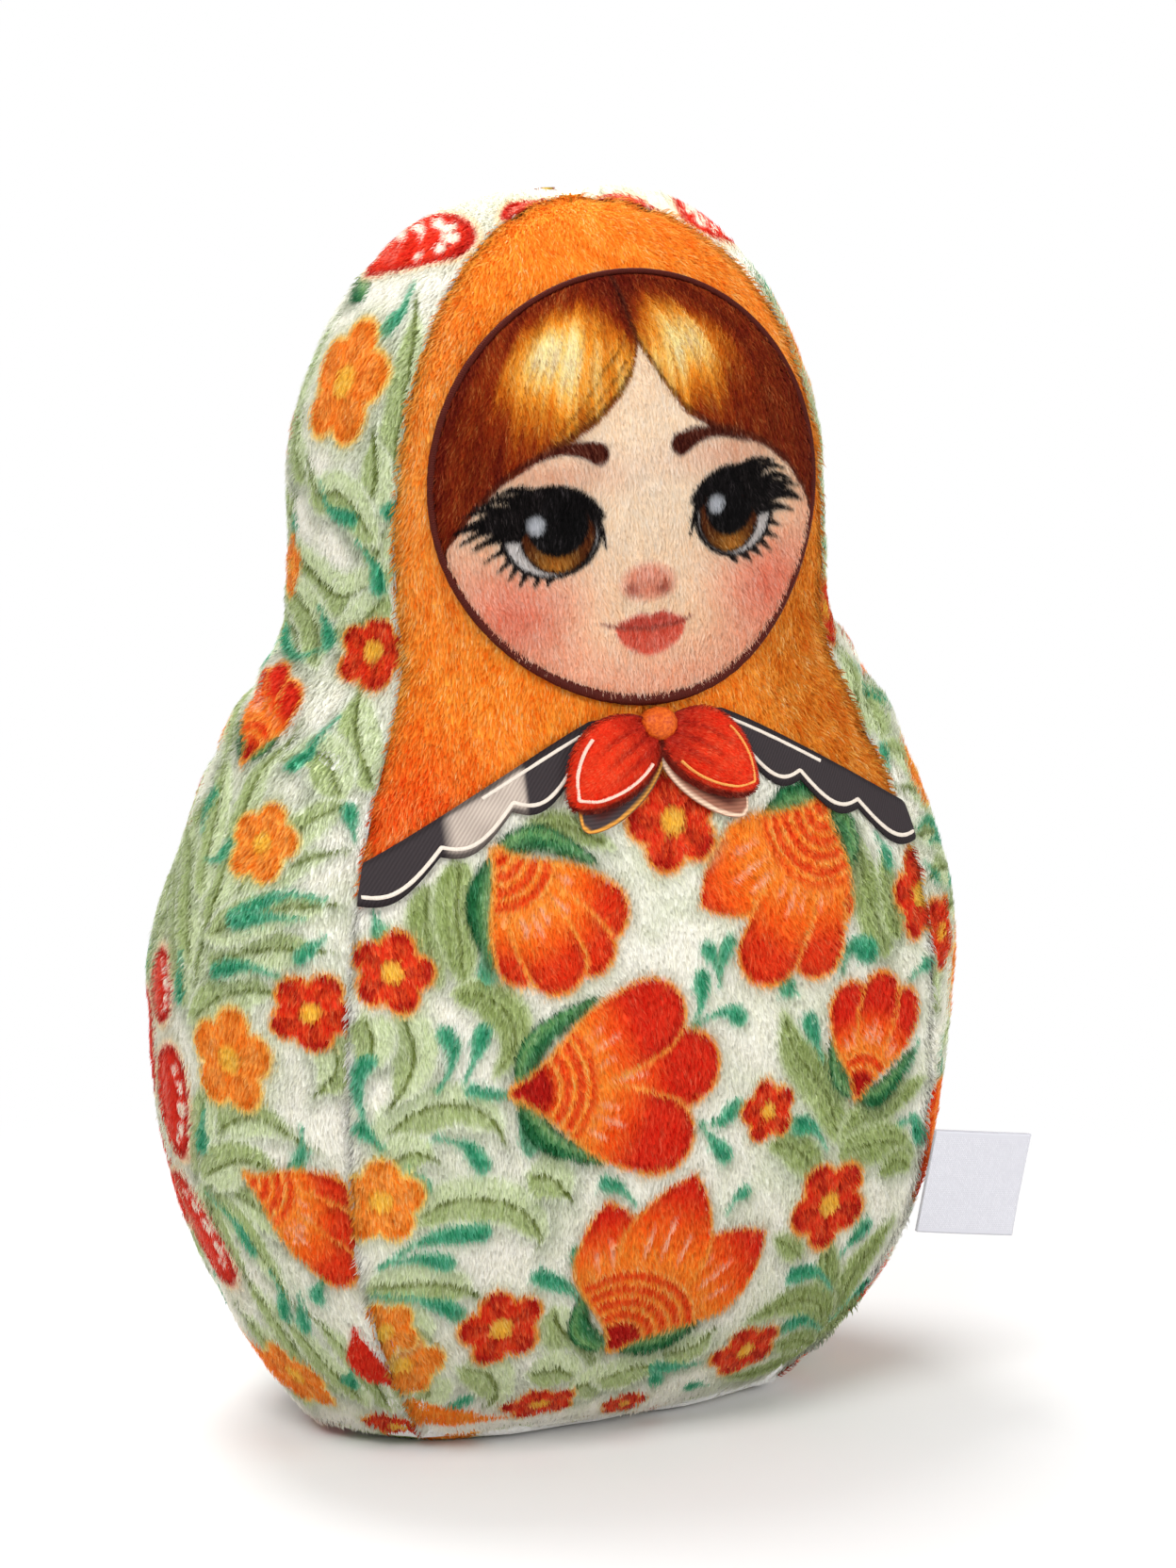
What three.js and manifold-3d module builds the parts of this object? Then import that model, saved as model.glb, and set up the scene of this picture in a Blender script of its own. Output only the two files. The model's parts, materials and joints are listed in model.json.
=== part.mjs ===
// Plush matryoshka doll: a stuffed toy sewn from a pear-shaped front and back panel, a gusset
// that runs over the head between them, and a base panel. The face, the scarf's hem bands and
// the bow are sewn on to the front panel, and a folded label is caught in its left-hand seam.
// Millimetres, +Z up. The doll faces -Y, stands on z = 0, and its middle is on the Z axis.
import * as THREE from "three";
import { mergeVertices } from "three/addons/utils/BufferGeometryUtils.js";
import Module from "manifold-3d";

const wasm = await Module();
wasm.setup();

// Front outline at the seam: a head and a belly, blended into one pear. Each is two half ovals,
// and a fullness above 2 squares an oval's shoulders.
const HEAD_HALF_WIDTH = 54.5;
const HEAD_CENTRE_Z = 209;
const HEAD_RISE = 76;
const HEAD_FULLNESS = 2.2;
const HEAD_DROP = 96;
const BELLY_HALF_WIDTH = 75;
const BELLY_CENTRE_Z = 102;
const BELLY_RISE = 90;
const BELLY_DROP = 117;
const BELLY_FULLNESS = 2.65;
const NECK_BLEND = 4.1;
const NECK_DROP = 37;

// Half the gusset's width, from the doll's middle to the seam. Under the belly it closes in an oval too.
const SEAM_DEPTH_BELLY = 47;
const SEAM_DEPTH_HEAD = 28.5;
const SEAM_DEPTH_CROWN = 5.5;
const SEAM_DROP = 100.5;
const SEAM_FULLNESS = 3.4;

// How far the filling swells the gusset past its seams.
const GUSSET_SWELL_BASE = 14.6;
const GUSSET_SWELL_BELLY = 25;
const GUSSET_SWELL_SHOULDER = 19.5;
const GUSSET_SWELL_HEAD = 10;
const GUSSET_SWELL_CROWN = 1.2;

// How far it swells the front and back panels, as a share of the half width at that height.
const PANEL_SWELL_BASE = 0.16;
const PANEL_SWELL_BELLY = 0.21;
const PANEL_SWELL_HEAD = 0.32;
const PANEL_SWELL_POWER = 0.85;

// The base panel rolls up from its flat foot to the base seam.
const BASE_SEAM_Z = 7;
const BASE_ROLL = 11;
const BASE_ROLL_START = Math.PI / 6;

// Cloth with its pile, the sewn edges, and the thread that runs inside them.
const CLOTH = 2.4;
const CLEARANCE = 0.3;
const EDGE_GAP = 0.4;
const EDGE_SETBACK = 0.9;
const THREAD_DIAMETER = 1;
const THREAD_DEPTH = 1.9;

// Sewn-on pieces of the front panel. The scarf shows round the face, above it and at its sides.
const APPLIQUE = 1.2;
const APPLIQUE_SEAT = 0.45;
const SCARF_SIDE = 7.8;
const SCARF_ABOVE = 15;
const FACE_LIFT = 14.5;
const FACE_DROP = 45.2;
const BORDER_TOP = 1.2;
const BORDER_SIDE = 1.8;
const BORDER_CHIN = 3;
const KNOT_RADIUS = 4;
const KNOT_HEIGHT = 3.4;
const LOOP_LENGTH = 24;
const LOOP_WIDTH = 16.5;
const LOOP_ROOT = 1.8;
const LOOP_SLOPE = THREE.MathUtils.degToRad(36);
const HEM_START = 8;
const HEM_DEPTH = 5.5;
const HEM_FALL = 31;
const HEM_FALL_POWER = 1.4;
const HEM_SCALLOPS = 4;
const HEM_SCALLOP_DEPTH = 4;
const HEM_EDGE_MARGIN = 1.5;

// Folded label in the front seam on the doll's left.
const LABEL_Z = 55;
const LABEL_WIDTH = 25;
const LABEL_LENGTH = 26;
const LABEL_PLY = 0.35;
const LABEL_FOLD_GAP = 0.4;
const LABEL_SEAM_GAP = 0.3;
const LABEL_SWING = THREE.MathUtils.degToRad(45); // from square to the seam towards the gusset

// Facets.
const ROWS = 34;
const BASE_EASE = 0.4; // share of the rows' spacing that also tightens at the base
const PANEL_COLUMNS = 14;
const GUSSET_COLUMNS = 8;
const ROLL_RINGS = 4;
const THREAD_SIDES = 6;

const CROWN_Z = HEAD_CENTRE_Z + HEAD_RISE;
const SHOULDER_Z = (HEAD_CENTRE_Z + BELLY_CENTRE_Z) / 2;
const NECK_Z = HEAD_CENTRE_Z - NECK_DROP;
const vec = (x, y, z) => new THREE.Vector3(x, y, z);
const range = (n) => Array.from({ length: n + 1 }, (_, i) => i);

// Heights with a value each, from the base up, and a smooth step from each to the next.
function between(stations, z) {
  const last = stations.length - 1;
  const found = stations.findIndex(([height]) => height > z);
  const next = found < 0 ? last : Math.max(found, 1);
  const [z0, v0] = stations[next - 1];
  const [z1, v1] = stations[next];
  return THREE.MathUtils.lerp(v0, v1, THREE.MathUtils.smoothstep(z, z0, z1));
}

// Half an oval's width at a share of its height.
const oval = (half, share, fullness = 2) =>
  half * Math.max(0, 1 - Math.abs(share) ** fullness) ** (1 / fullness);

function halfWidth(z) {
  const overHead = z - HEAD_CENTRE_Z;
  const overBelly = z - BELLY_CENTRE_Z;
  const head = overHead > 0
    ? oval(HEAD_HALF_WIDTH, overHead / HEAD_RISE, HEAD_FULLNESS)
    : oval(HEAD_HALF_WIDTH, overHead / HEAD_DROP);
  const belly = overBelly > 0
    ? oval(BELLY_HALF_WIDTH, overBelly / BELLY_RISE)
    : oval(BELLY_HALF_WIDTH, overBelly / BELLY_DROP, BELLY_FULLNESS);
  return (head ** NECK_BLEND + belly ** NECK_BLEND) ** (1 / NECK_BLEND);
}

// Above the head's widest line the gusset narrows to the crown along the same oval as the outline.
const crownShare = (z) => oval(1, Math.max(0, z - HEAD_CENTRE_Z) / HEAD_RISE, HEAD_FULLNESS);
const towardsCrown = (head, crown, z) => THREE.MathUtils.lerp(crown, head, crownShare(z));

function seamDepth(z) {
  if (z < BELLY_CENTRE_Z) return oval(SEAM_DEPTH_BELLY, (BELLY_CENTRE_Z - z) / SEAM_DROP, SEAM_FULLNESS);
  const head = towardsCrown(SEAM_DEPTH_HEAD, SEAM_DEPTH_CROWN, z);
  return between([[BELLY_CENTRE_Z, SEAM_DEPTH_BELLY], [HEAD_CENTRE_Z, head]], z);
}

const gussetSwell = (z) =>
  between([[BASE_SEAM_Z, GUSSET_SWELL_BASE], [BELLY_CENTRE_Z, GUSSET_SWELL_BELLY],
    [SHOULDER_Z, GUSSET_SWELL_SHOULDER],
    [HEAD_CENTRE_Z, towardsCrown(GUSSET_SWELL_HEAD, GUSSET_SWELL_CROWN, z)]], z);

const panelSwell = (z) =>
  between([[BASE_SEAM_Z, PANEL_SWELL_BASE], [BELLY_CENTRE_Z, PANEL_SWELL_BELLY],
    [HEAD_CENTRE_Z, PANEL_SWELL_HEAD]], z);

// The outline runs from the base on the doll's right (s = -1) over the crown (0) to the base on
// its left (1), with its rows closest together at the crown.
function outline(s) {
  const fromCrown = Math.cos((s * Math.PI) / 2);
  const fromBoth = (1 + Math.cos(s * Math.PI)) / 2;
  const height = THREE.MathUtils.lerp(fromCrown, fromBoth, BASE_EASE);
  const z = BASE_SEAM_Z + (CROWN_Z - BASE_SEAM_Z) * height;
  return { x: Math.sign(s) * halfWidth(z), z };
}

// The place on the doll's left half of the outline at a height, by halving.
function outlineAt(height) {
  let [above, below] = [0, 1];
  for (let k = 0; k < 40; k++) {
    const middle = (above + below) / 2;
    if (outline(middle).z > height) above = middle;
    else below = middle;
  }
  return below;
}

function outlineNormal(s) {
  const step = 1e-3;
  const a = outline(Math.max(-1, s - step));
  const b = outline(Math.min(1, s + step));
  return new THREE.Vector2(a.z - b.z, b.x - a.x).normalize();
}

// Front panel: s from 0 (crown) to 1 (base), t from -1 to 1 across. Its back twin is mirrored in y.
function frontPoint(s, t) {
  const { z } = outline(s);
  const x = t * halfWidth(z);
  const swell = panelSwell(z) * halfWidth(z) * Math.max(0, 1 - t * t) ** PANEL_SWELL_POWER;
  return vec(x, -(seamDepth(z) + swell), z);
}

// Gusset: s along the outline, t from -1 at the front seam to 1 at the back seam. Its swell turns
// level at the base.
function gussetPoint(s, t) {
  const { x, z } = outline(s);
  const n = outlineNormal(s);
  n.y *= THREE.MathUtils.smoothstep(z, BASE_SEAM_Z, BELLY_CENTRE_Z);
  n.normalize();
  const swell = gussetSwell(z) * (1 - t * t);
  return vec(x + swell * n.x, seamDepth(z) * t, z + swell * n.y);
}

// Outward normal of a surface, by differences that stay inside its edges.
function normalOf(surface, s, t, low) {
  const step = 0.02;
  const along = surface(Math.min(1, s + step), t).sub(surface(Math.max(low, s - step), t));
  const across = surface(s, Math.min(1, t + step)).sub(surface(s, Math.max(-1, t - step)));
  return along.cross(across).normalize();
}

const CROWN_EASE = 0.04; // the front panel's rows close to a point at the crown
const frontNormal = (s, t) => normalOf(frontPoint, Math.max(s, CROWN_EASE), t, 0);
const gussetNormal = (s, t) => normalOf(gussetPoint, s, t, -1);
const mirrorY = (p) => vec(p.x, -p.y, p.z);

// Inward line that two sewn edges share along the front seam.
function seamNormal(s) {
  const panel = frontNormal(Math.abs(s), Math.sign(s));
  return panel.add(gussetNormal(s, -1)).normalize();
}

// The base seam is a level loop, anticlockwise from above: front, left gusset end, back, right
// gusset end.
function baseLoop() {
  const across = (n) => range(n).map((j) => -1 + (2 * j) / n);
  const frontWall = (t) => (Math.abs(t) === 1 ? seamNormal(t) : frontNormal(1, t));
  const leftCorner = (t) => (t < 0 ? seamNormal(1) : mirrorY(seamNormal(1)));
  const leftWall = (t) => (Math.abs(t) < 1 ? gussetNormal(1, t) : leftCorner(t));
  const frontRow = across(PANEL_COLUMNS).map((t) => ({ point: frontPoint(1, t), wall: frontWall(t) }));
  const leftRow = across(GUSSET_COLUMNS).map((t) => ({ point: gussetPoint(1, t), wall: leftWall(t) }));
  const halfTurn = (p) => vec(-p.x, -p.y, p.z);
  const turnedStation = ({ point, wall }) => ({ point: halfTurn(point), wall: halfTurn(wall) });
  const turned = (row) => row.map(turnedStation);
  return [frontRow, leftRow, turned(frontRow), turned(leftRow)].flatMap((row) => row.slice(0, -1));
}

// Section of the base panel: how far in from the seam and how high each ring lies.
const rollAngle = (k) => THREE.MathUtils.lerp(BASE_ROLL_START, Math.PI / 2, k / ROLL_RINGS);
const rollShare = (angle, start, end) => (angle - start) / (end - start);
function rollPoint({ point }, k) {
  const angle = rollAngle(k);
  const inset = BASE_ROLL * rollShare(Math.cos(angle), Math.cos(BASE_ROLL_START), 0);
  const height = BASE_SEAM_Z * (1 - rollShare(Math.sin(angle), Math.sin(BASE_ROLL_START), 1));
  const inward = vec(-point.x, -point.y, 0).normalize();
  return vec(point.x, point.y, height).addScaledVector(inward, inset);
}

function rollNormal({ point }, k) {
  const angle = rollAngle(k);
  const outward = vec(point.x, point.y, 0).normalize();
  outward.multiplyScalar(Math.cos(angle) * BASE_SEAM_Z);
  outward.z = -Math.sin(angle) * BASE_ROLL;
  return outward.normalize();
}

const baseSeamNormal = (station) => rollNormal(station, 0).add(station.wall).normalize();

// Triangles of a grid of points, as flat coordinates.
function gridTriangles(rows, flip = false) {
  const out = [];
  for (let i = 0; i + 1 < rows.length; i++) {
    for (let j = 0; j + 1 < rows[i].length; j++) {
      const [a, b, c, d] = [rows[i][j], rows[i][j + 1], rows[i + 1][j + 1], rows[i + 1][j]];
      out.push(...(flip ? [a, c, b, a, d, c] : [a, b, c, a, c, d]));
    }
  }
  return out;
}

// A closed geometry from triangles: shared corners are merged and faces that closed to a line
// are dropped.
function closedGeometry(triangles) {
  const positions = new Float32Array(triangles.flatMap((p) => [p.x, p.y, p.z]));
  const loose = new THREE.BufferGeometry();
  loose.setAttribute("position", new THREE.BufferAttribute(positions, 3));
  const merged = mergeVertices(loose, 1e-3);
  const index = [];
  for (let i = 0; i < merged.index.count; i += 3) {
    const corners = [0, 1, 2].map((k) => merged.index.getX(i + k));
    if (new Set(corners).size === 3) index.push(...corners);
  }
  merged.setIndex(index);
  merged.computeVertexNormals();
  return merged;
}

// A shell between an outer and an inner grid of the same size, closed round its four edges.
function shell(outer, inner, flip = false) {
  const edge = (row) => [row(outer), row(inner)];
  const first = (grid) => grid[0];
  const last = (grid) => grid[grid.length - 1];
  const left = (grid) => grid.map((row) => row[0]);
  const right = (grid) => grid.map((row) => row[row.length - 1]);
  return closedGeometry([
    ...gridTriangles(outer, flip),
    ...gridTriangles(inner, !flip),
    ...gridTriangles(edge(first), !flip),
    ...gridTriangles(edge(last), flip),
    ...gridTriangles(edge(left), flip),
    ...gridTriangles(edge(right), !flip),
  ]);
}

// Draws a grid's edge back from its seam: the outer face by half the gap, the inner face further,
// for the thread.
function sewnEdges(points, normals, edges) {
  const outer = points.map((row) => row.map((p) => p.clone()));
  const under = (p, i, j) => p.clone().addScaledVector(normals[i][j], -CLOTH);
  const inner = points.map((row, i) => row.map((p, j) => under(p, i, j)));
  for (const { i, j, inside } of edges(points.length - 1, points[0].length - 1)) {
    const inward = points[inside[0]][inside[1]].clone().sub(points[i][j]).normalize();
    outer[i][j].addScaledVector(inward, EDGE_GAP / 2);
    inner[i][j].addScaledVector(inward, EDGE_GAP / 2 + EDGE_SETBACK);
  }
  return [outer, inner];
}

// Front and back panel: rows from the crown down, with seams on both sides and along the base.
function panelGrid() {
  const rows = range(ROWS).map((i) => i / ROWS);
  const columns = range(PANEL_COLUMNS).map((j) => -1 + (2 * j) / PANEL_COLUMNS);
  const stations = baseLoop();
  const points = rows.map((s) => columns.map((t) => frontPoint(s, t)));
  const normals = rows.map((s, i) => columns.map((t, j) => {
    if (i === ROWS) return baseSeamNormal(stations[j]);
    if (i === 0) return seamNormal(0);
    return Math.abs(t) === 1 ? seamNormal(s * t) : frontNormal(s, t);
  }));
  return { points, normals };
}

function panelEdges(lastRow, lastColumn) {
  const middle = lastColumn / 2;
  const sides = range(lastRow - 2).map((k) => k + 1).flatMap((i) => [
    { i, j: 0, inside: [i, 1] },
    { i, j: lastColumn, inside: [i, lastColumn - 1] },
  ]);
  const crown = range(lastColumn).map((j) => ({ i: 0, j, inside: [1, middle] }));
  const foot = range(lastColumn).map((j) => ({
    i: lastRow, j, inside: [lastRow - 1, THREE.MathUtils.clamp(j, 1, lastColumn - 1)],
  }));
  return [...sides, ...crown, ...foot];
}

function frontPanel() {
  const { points, normals } = panelGrid();
  const [outer, inner] = sewnEdges(points, normals, panelEdges);
  return shell(outer, inner, true);
}

function backPanel() {
  const { points, normals } = panelGrid();
  const [outer, inner] = sewnEdges(points, normals, panelEdges);
  const mirrored = (grid) => grid.map((row) => row.map(mirrorY));
  return shell(mirrored(outer), mirrored(inner));
}

// Gusset: one strip from base to base over the crown, with a seam on each long side.
function gussetGrid() {
  const rows = range(2 * ROWS).map((i) => -1 + i / ROWS);
  const columns = range(GUSSET_COLUMNS).map((j) => -1 + (2 * j) / GUSSET_COLUMNS);
  const stations = baseLoop();
  const leftEnd = stations.slice(PANEL_COLUMNS, PANEL_COLUMNS + GUSSET_COLUMNS + 1);
  const points = rows.map((s) => columns.map((t) => gussetPoint(s, t)));
  const normals = rows.map((s) => columns.map((t, j) => {
    if (Math.abs(s) === 1) {
      const end = baseSeamNormal(leftEnd[j]);
      return vec(end.x * s, end.y, end.z);
    }
    if (Math.abs(t) < 1) return gussetNormal(s, t);
    return t < 0 ? seamNormal(s) : mirrorY(seamNormal(s));
  }));
  return { points, normals };
}

function gussetEdges(lastRow, lastColumn) {
  const ends = range(lastColumn).flatMap((j) => {
    const next = THREE.MathUtils.clamp(j, 1, lastColumn - 1);
    return [{ i: 0, j, inside: [1, next] }, { i: lastRow, j, inside: [lastRow - 1, next] }];
  });
  const sides = range(lastRow - 2).map((k) => k + 1).flatMap((i) => [
    { i, j: 0, inside: [i, 1] },
    { i, j: lastColumn, inside: [i, lastColumn - 1] },
  ]);
  return [...ends, ...sides];
}

function sideGusset() {
  const { points, normals } = gussetGrid();
  const [outer, inner] = sewnEdges(points, normals, gussetEdges);
  return shell(outer, inner, true);
}

// Base panel: rings from the seam in to a flat foot, and the same again inside it.
const ring = (items) => [...items, items[0]];
function baseGrid() {
  const stations = ring(baseLoop());
  const points = range(ROLL_RINGS).map((k) => stations.map((at) => rollPoint(at, k)));
  const normalAt = (at, k) => (k === 0 ? baseSeamNormal(at) : rollNormal(at, k));
  const normals = range(ROLL_RINGS).map((k) => stations.map((at) => normalAt(at, k)));
  return { points, normals };
}

function basePanel() {
  const { points, normals } = baseGrid();
  const seam = (_, lastColumn) => range(lastColumn).map((j) => ({ i: 0, j, inside: [1, j] }));
  const [outer, inner] = sewnEdges(points, normals, seam);
  const foot = outer[ROLL_RINGS].map(() => vec(0, 0, 0));
  const floor = inner[ROLL_RINGS].map(() => vec(0, 0, CLOTH));
  return closedGeometry([
    ...gridTriangles([...outer, foot], true),
    ...gridTriangles([...inner, floor]),
    ...gridTriangles([inner[0], outer[0]], true),
  ]);
}

// Filling: the inside of the sewn cover, parted at the neck into the head's and the body's filling.
function coverInside() {
  const depth = CLOTH + CLEARANCE;
  const inset = ({ points, normals }) =>
    points.map((row, i) => row.map((p, j) => p.clone().addScaledVector(normals[i][j], -depth)));
  const front = inset(panelGrid());
  const base = inset(baseGrid());
  const foot = base[ROLL_RINGS].map(() => vec(0, 0, depth));
  return solidOf(closedGeometry([
    ...gridTriangles(front, true),
    ...gridTriangles(front.map((row) => row.map(mirrorY))),
    ...gridTriangles(inset(gussetGrid()), true),
    ...gridTriangles([...base, foot], true),
  ]));
}

function solidOf(geometry) {
  const bare = geometry.clone();
  bare.deleteAttribute("normal");
  bare.deleteAttribute("uv");
  const merged = mergeVertices(bare, 1e-3);
  return new wasm.Manifold(new wasm.Mesh({
    numProp: 3,
    vertProperties: new Float32Array(merged.attributes.position.array),
    triVerts: new Uint32Array(merged.index.array),
  }));
}

function geometryOf(solid) {
  const mesh = solid.getMesh();
  const geometry = new THREE.BufferGeometry();
  const corners = new Float32Array(mesh.vertProperties);
  geometry.setAttribute("position", new THREE.BufferAttribute(corners, 3));
  geometry.setIndex(new THREE.BufferAttribute(new Uint32Array(mesh.triVerts), 1));
  geometry.computeVertexNormals();
  return geometry;
}

function filling(above) {
  const reach = 2 * (CROWN_Z + GUSSET_SWELL_CROWN);
  const block = new THREE.BoxGeometry(reach, reach, reach);
  const middle = NECK_Z + (above ? 1 : -1) * (reach / 2 + CLEARANCE / 2);
  return geometryOf(coverInside().intersect(solidOf(block.translate(0, 0, middle))));
}

// Thread: a round tube from stitch to stitch along sewn edges, inside the cloth.
class SewnPath extends THREE.Curve {
  constructor(stitches) {
    super();
    this.stitches = stitches;
  }

  getPoint(t, target = vec(0, 0, 0)) {
    const at = t * (this.stitches.length - 1);
    const first = Math.min(Math.floor(at), this.stitches.length - 2);
    return target.lerpVectors(this.stitches[first], this.stitches[first + 1], at - first);
  }

  getUtoTmapping(u) {
    return u;
  }
}

function threadAlong(stitches) {
  const section = new THREE.Shape().absarc(0, 0, THREAD_DIAMETER / 2, 0, 2 * Math.PI);
  return new THREE.ExtrudeGeometry(section, {
    steps: stitches.length - 1,
    curveSegments: THREAD_SIDES / 2,
    extrudePath: new SewnPath(stitches),
    bevelEnabled: false,
  });
}

function seamThread(side) {
  const rows = range(2 * ROWS - 2).map((i) => -1 + (i + 1) / ROWS);
  return threadAlong(rows.map((s) => {
    const { x, z } = outline(s);
    const stitch = vec(x, -seamDepth(z), z).addScaledVector(seamNormal(s), -THREAD_DEPTH);
    return vec(stitch.x, side * stitch.y, stitch.z);
  }));
}

function baseThread() {
  const stitch = (at) => at.point.clone().addScaledVector(baseSeamNormal(at), -THREAD_DEPTH);
  return threadAlong(baseLoop().map(stitch));
}

// A point on the front panel under (x, z), lifted off it along its normal.
function frontY(x, z) {
  const w = halfWidth(z);
  const swell = panelSwell(z) * w * Math.max(0, 1 - (x / w) ** 2) ** PANEL_SWELL_POWER;
  return -(seamDepth(z) + swell);
}

function onFront(x, z, lift) {
  const step = 0.5;
  const slopeX = (frontY(x + step, z) - frontY(x - step, z)) / (2 * step);
  const slopeZ = (frontY(x, z + step) - frontY(x, z - step)) / (2 * step);
  return vec(x, frontY(x, z), z).addScaledVector(vec(slopeX, -1, slopeZ).normalize(), lift);
}

// A sewn-on piece over a grid of (x, z) places, lying on the front panel.
function applique(grid, lift) {
  const at = (height) => grid.map((row) => row.map(([x, z]) => onFront(x, z, height)));
  return [at(lift + APPLIQUE), at(lift)];
}

// The face is an oval with a lower half of its own.
const FACE_SPOKES = 36;
const FACE_RINGS = 7;
const FACE_CENTRE_Z = HEAD_CENTRE_Z + FACE_LIFT;
const FACE_HALF_WIDTH = HEAD_HALF_WIDTH - SCARF_SIDE;
const FACE_RISE = CROWN_Z - SCARF_ABOVE - FACE_CENTRE_Z;
function faceOval(angle, grow) {
  const [c, s] = [Math.cos(angle), Math.sin(angle)];
  return [(FACE_HALF_WIDTH + grow) * c, FACE_CENTRE_Z + ((s > 0 ? FACE_RISE : FACE_DROP) + grow) * s];
}

const faceAngles = range(FACE_SPOKES).map((k) => (2 * Math.PI * k) / FACE_SPOKES);
function facePatch() {
  const rings = range(FACE_RINGS).map((r) => faceAngles.map((a) => {
    const [x, z] = faceOval(a, 0);
    const share = r / FACE_RINGS;
    return [x * share, FACE_CENTRE_Z + (z - FACE_CENTRE_Z) * share];
  }));
  const [outer, inner] = applique(rings, APPLIQUE_SEAT);
  return closedGeometry([
    ...gridTriangles(outer, true),
    ...gridTriangles(inner),
    ...gridTriangles([outer[FACE_RINGS], inner[FACE_RINGS]], true),
  ]);
}

// Satin-stitched border round the face, heavier under the chin.
function borderWidth(angle) {
  const upright = Math.sin(angle);
  return THREE.MathUtils.lerp(BORDER_SIDE, upright > 0 ? BORDER_TOP : BORDER_CHIN, upright ** 2);
}

function faceBorder() {
  const rings = [0, 1].map((k) => faceAngles.map((a) => faceOval(a, CLEARANCE + k * borderWidth(a))));
  const [outer, inner] = applique(rings, APPLIQUE_SEAT);
  return closedGeometry([
    ...gridTriangles(outer, true),
    ...gridTriangles(inner),
    ...gridTriangles([inner[0], outer[0]], true),
    ...gridTriangles([outer[1], inner[1]], true),
  ]);
}

// Bow: a domed knot under the chin and a leaf-shaped loop on each side of it.
const KNOT_Z = FACE_CENTRE_Z - FACE_DROP - BORDER_CHIN - 2 * CLEARANCE - KNOT_RADIUS;
const LAYER = APPLIQUE_SEAT + APPLIQUE + CLEARANCE;
function bowKnot() {
  const spokes = 12;
  const rings = 4;
  const dome = range(rings).map((r) => range(spokes).map((k) => {
    const a = (2 * Math.PI * k) / spokes;
    const tilt = (Math.PI / 2) * (r / rings);
    const radius = KNOT_RADIUS * Math.sin(tilt);
    const lift = APPLIQUE_SEAT + KNOT_HEIGHT * Math.cos(tilt);
    return onFront(radius * Math.cos(a), KNOT_Z + radius * Math.sin(a), lift);
  }));
  const seat = dome[rings].map(() => onFront(0, KNOT_Z, APPLIQUE_SEAT));
  return closedGeometry(gridTriangles([...dome, seat], true));
}

function bowLoop(side) {
  const rows = 12;
  const columns = 4;
  const start = KNOT_RADIUS + CLEARANCE;
  const leaf = range(rows).map((i) => range(columns).map((j) => {
    const share = i / rows;
    const half = (LOOP_WIDTH / 2) * Math.sin(Math.PI * share ** 1.3) ** 0.75 + LOOP_ROOT * (1 - share);
    const across = half * (-1 + (2 * j) / columns);
    const out = start + LOOP_LENGTH * share;
    const x = out * Math.cos(LOOP_SLOPE) + across * Math.sin(LOOP_SLOPE);
    return [side * x, KNOT_Z - out * Math.sin(LOOP_SLOPE) + across * Math.cos(LOOP_SLOPE)];
  }));
  const [outer, inner] = applique(leaf, LAYER);
  return shell(outer, inner, side > 0);
}

// Hem band of the scarf: from beside the knot down to the seam, with a scalloped lower edge.
function hemBand(side) {
  const rows = 32;
  const columns = 3;
  const grid = range(rows).map((i) => range(columns).map((j) => {
    const share = i / rows;
    const top = KNOT_Z + KNOT_RADIUS / 2 - HEM_FALL * share ** HEM_FALL_POWER;
    const scallop = HEM_SCALLOP_DEPTH * Math.abs(Math.sin(HEM_SCALLOPS * Math.PI * share));
    const z = top - ((HEM_DEPTH + scallop) * j) / columns;
    return [side * THREE.MathUtils.lerp(HEM_START, halfWidth(z) - HEM_EDGE_MARGIN, share), z];
  }));
  const [outer, inner] = applique(grid, APPLIQUE_SEAT);
  return shell(outer, inner, side < 0);
}

// Label: a ribbon folded on itself, its closed root hinged on the seam and its fold outwards.
function labelHinge() {
  const span = outlineAt(LABEL_Z);
  const { x, z } = outline(span);
  const step = 0.02;
  const seam = (s) => vec(outline(s).x, -seamDepth(outline(s).z), outline(s).z);
  const along = seam(span - step).sub(seam(span + step)).normalize();
  const out = seamNormal(span);
  out.addScaledVector(along, -out.dot(along)).normalize();
  const half = LABEL_PLY + LABEL_FOLD_GAP / 2;
  const at = vec(x, -seamDepth(z), z).addScaledVector(out, half + LABEL_SEAM_GAP);
  return { at, along, out: out.applyAxisAngle(along, LABEL_SWING), half };
}

function stadium(shape, from, to, radius) {
  shape.absarc(to, 0, radius, -Math.PI / 2, Math.PI / 2);
  shape.absarc(from, 0, radius, Math.PI / 2, 1.5 * Math.PI);
  return shape.closePath();
}

function careLabel(half) {
  const slot = LABEL_FOLD_GAP / 2;
  const section = stadium(new THREE.Shape(), 0, LABEL_LENGTH - 2 * half, half);
  section.holes.push(stadium(new THREE.Path(), 2 * half, LABEL_LENGTH - 2 * half, slot));
  const ribbon = { depth: LABEL_WIDTH, curveSegments: 4, bevelEnabled: false };
  const geometry = new THREE.ExtrudeGeometry(section, ribbon);
  return geometry.translate(0, 0, -LABEL_WIDTH / 2);
}

const plush = (color) => new THREE.MeshStandardMaterial({ color, roughness: 0.95, metalness: 0 });
const thread = (color) => new THREE.MeshStandardMaterial({ color, roughness: 0.6, metalness: 0 });

function named(name, geometry, material) {
  const mesh = new THREE.Mesh(geometry, material);
  mesh.name = name;
  return mesh;
}

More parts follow.
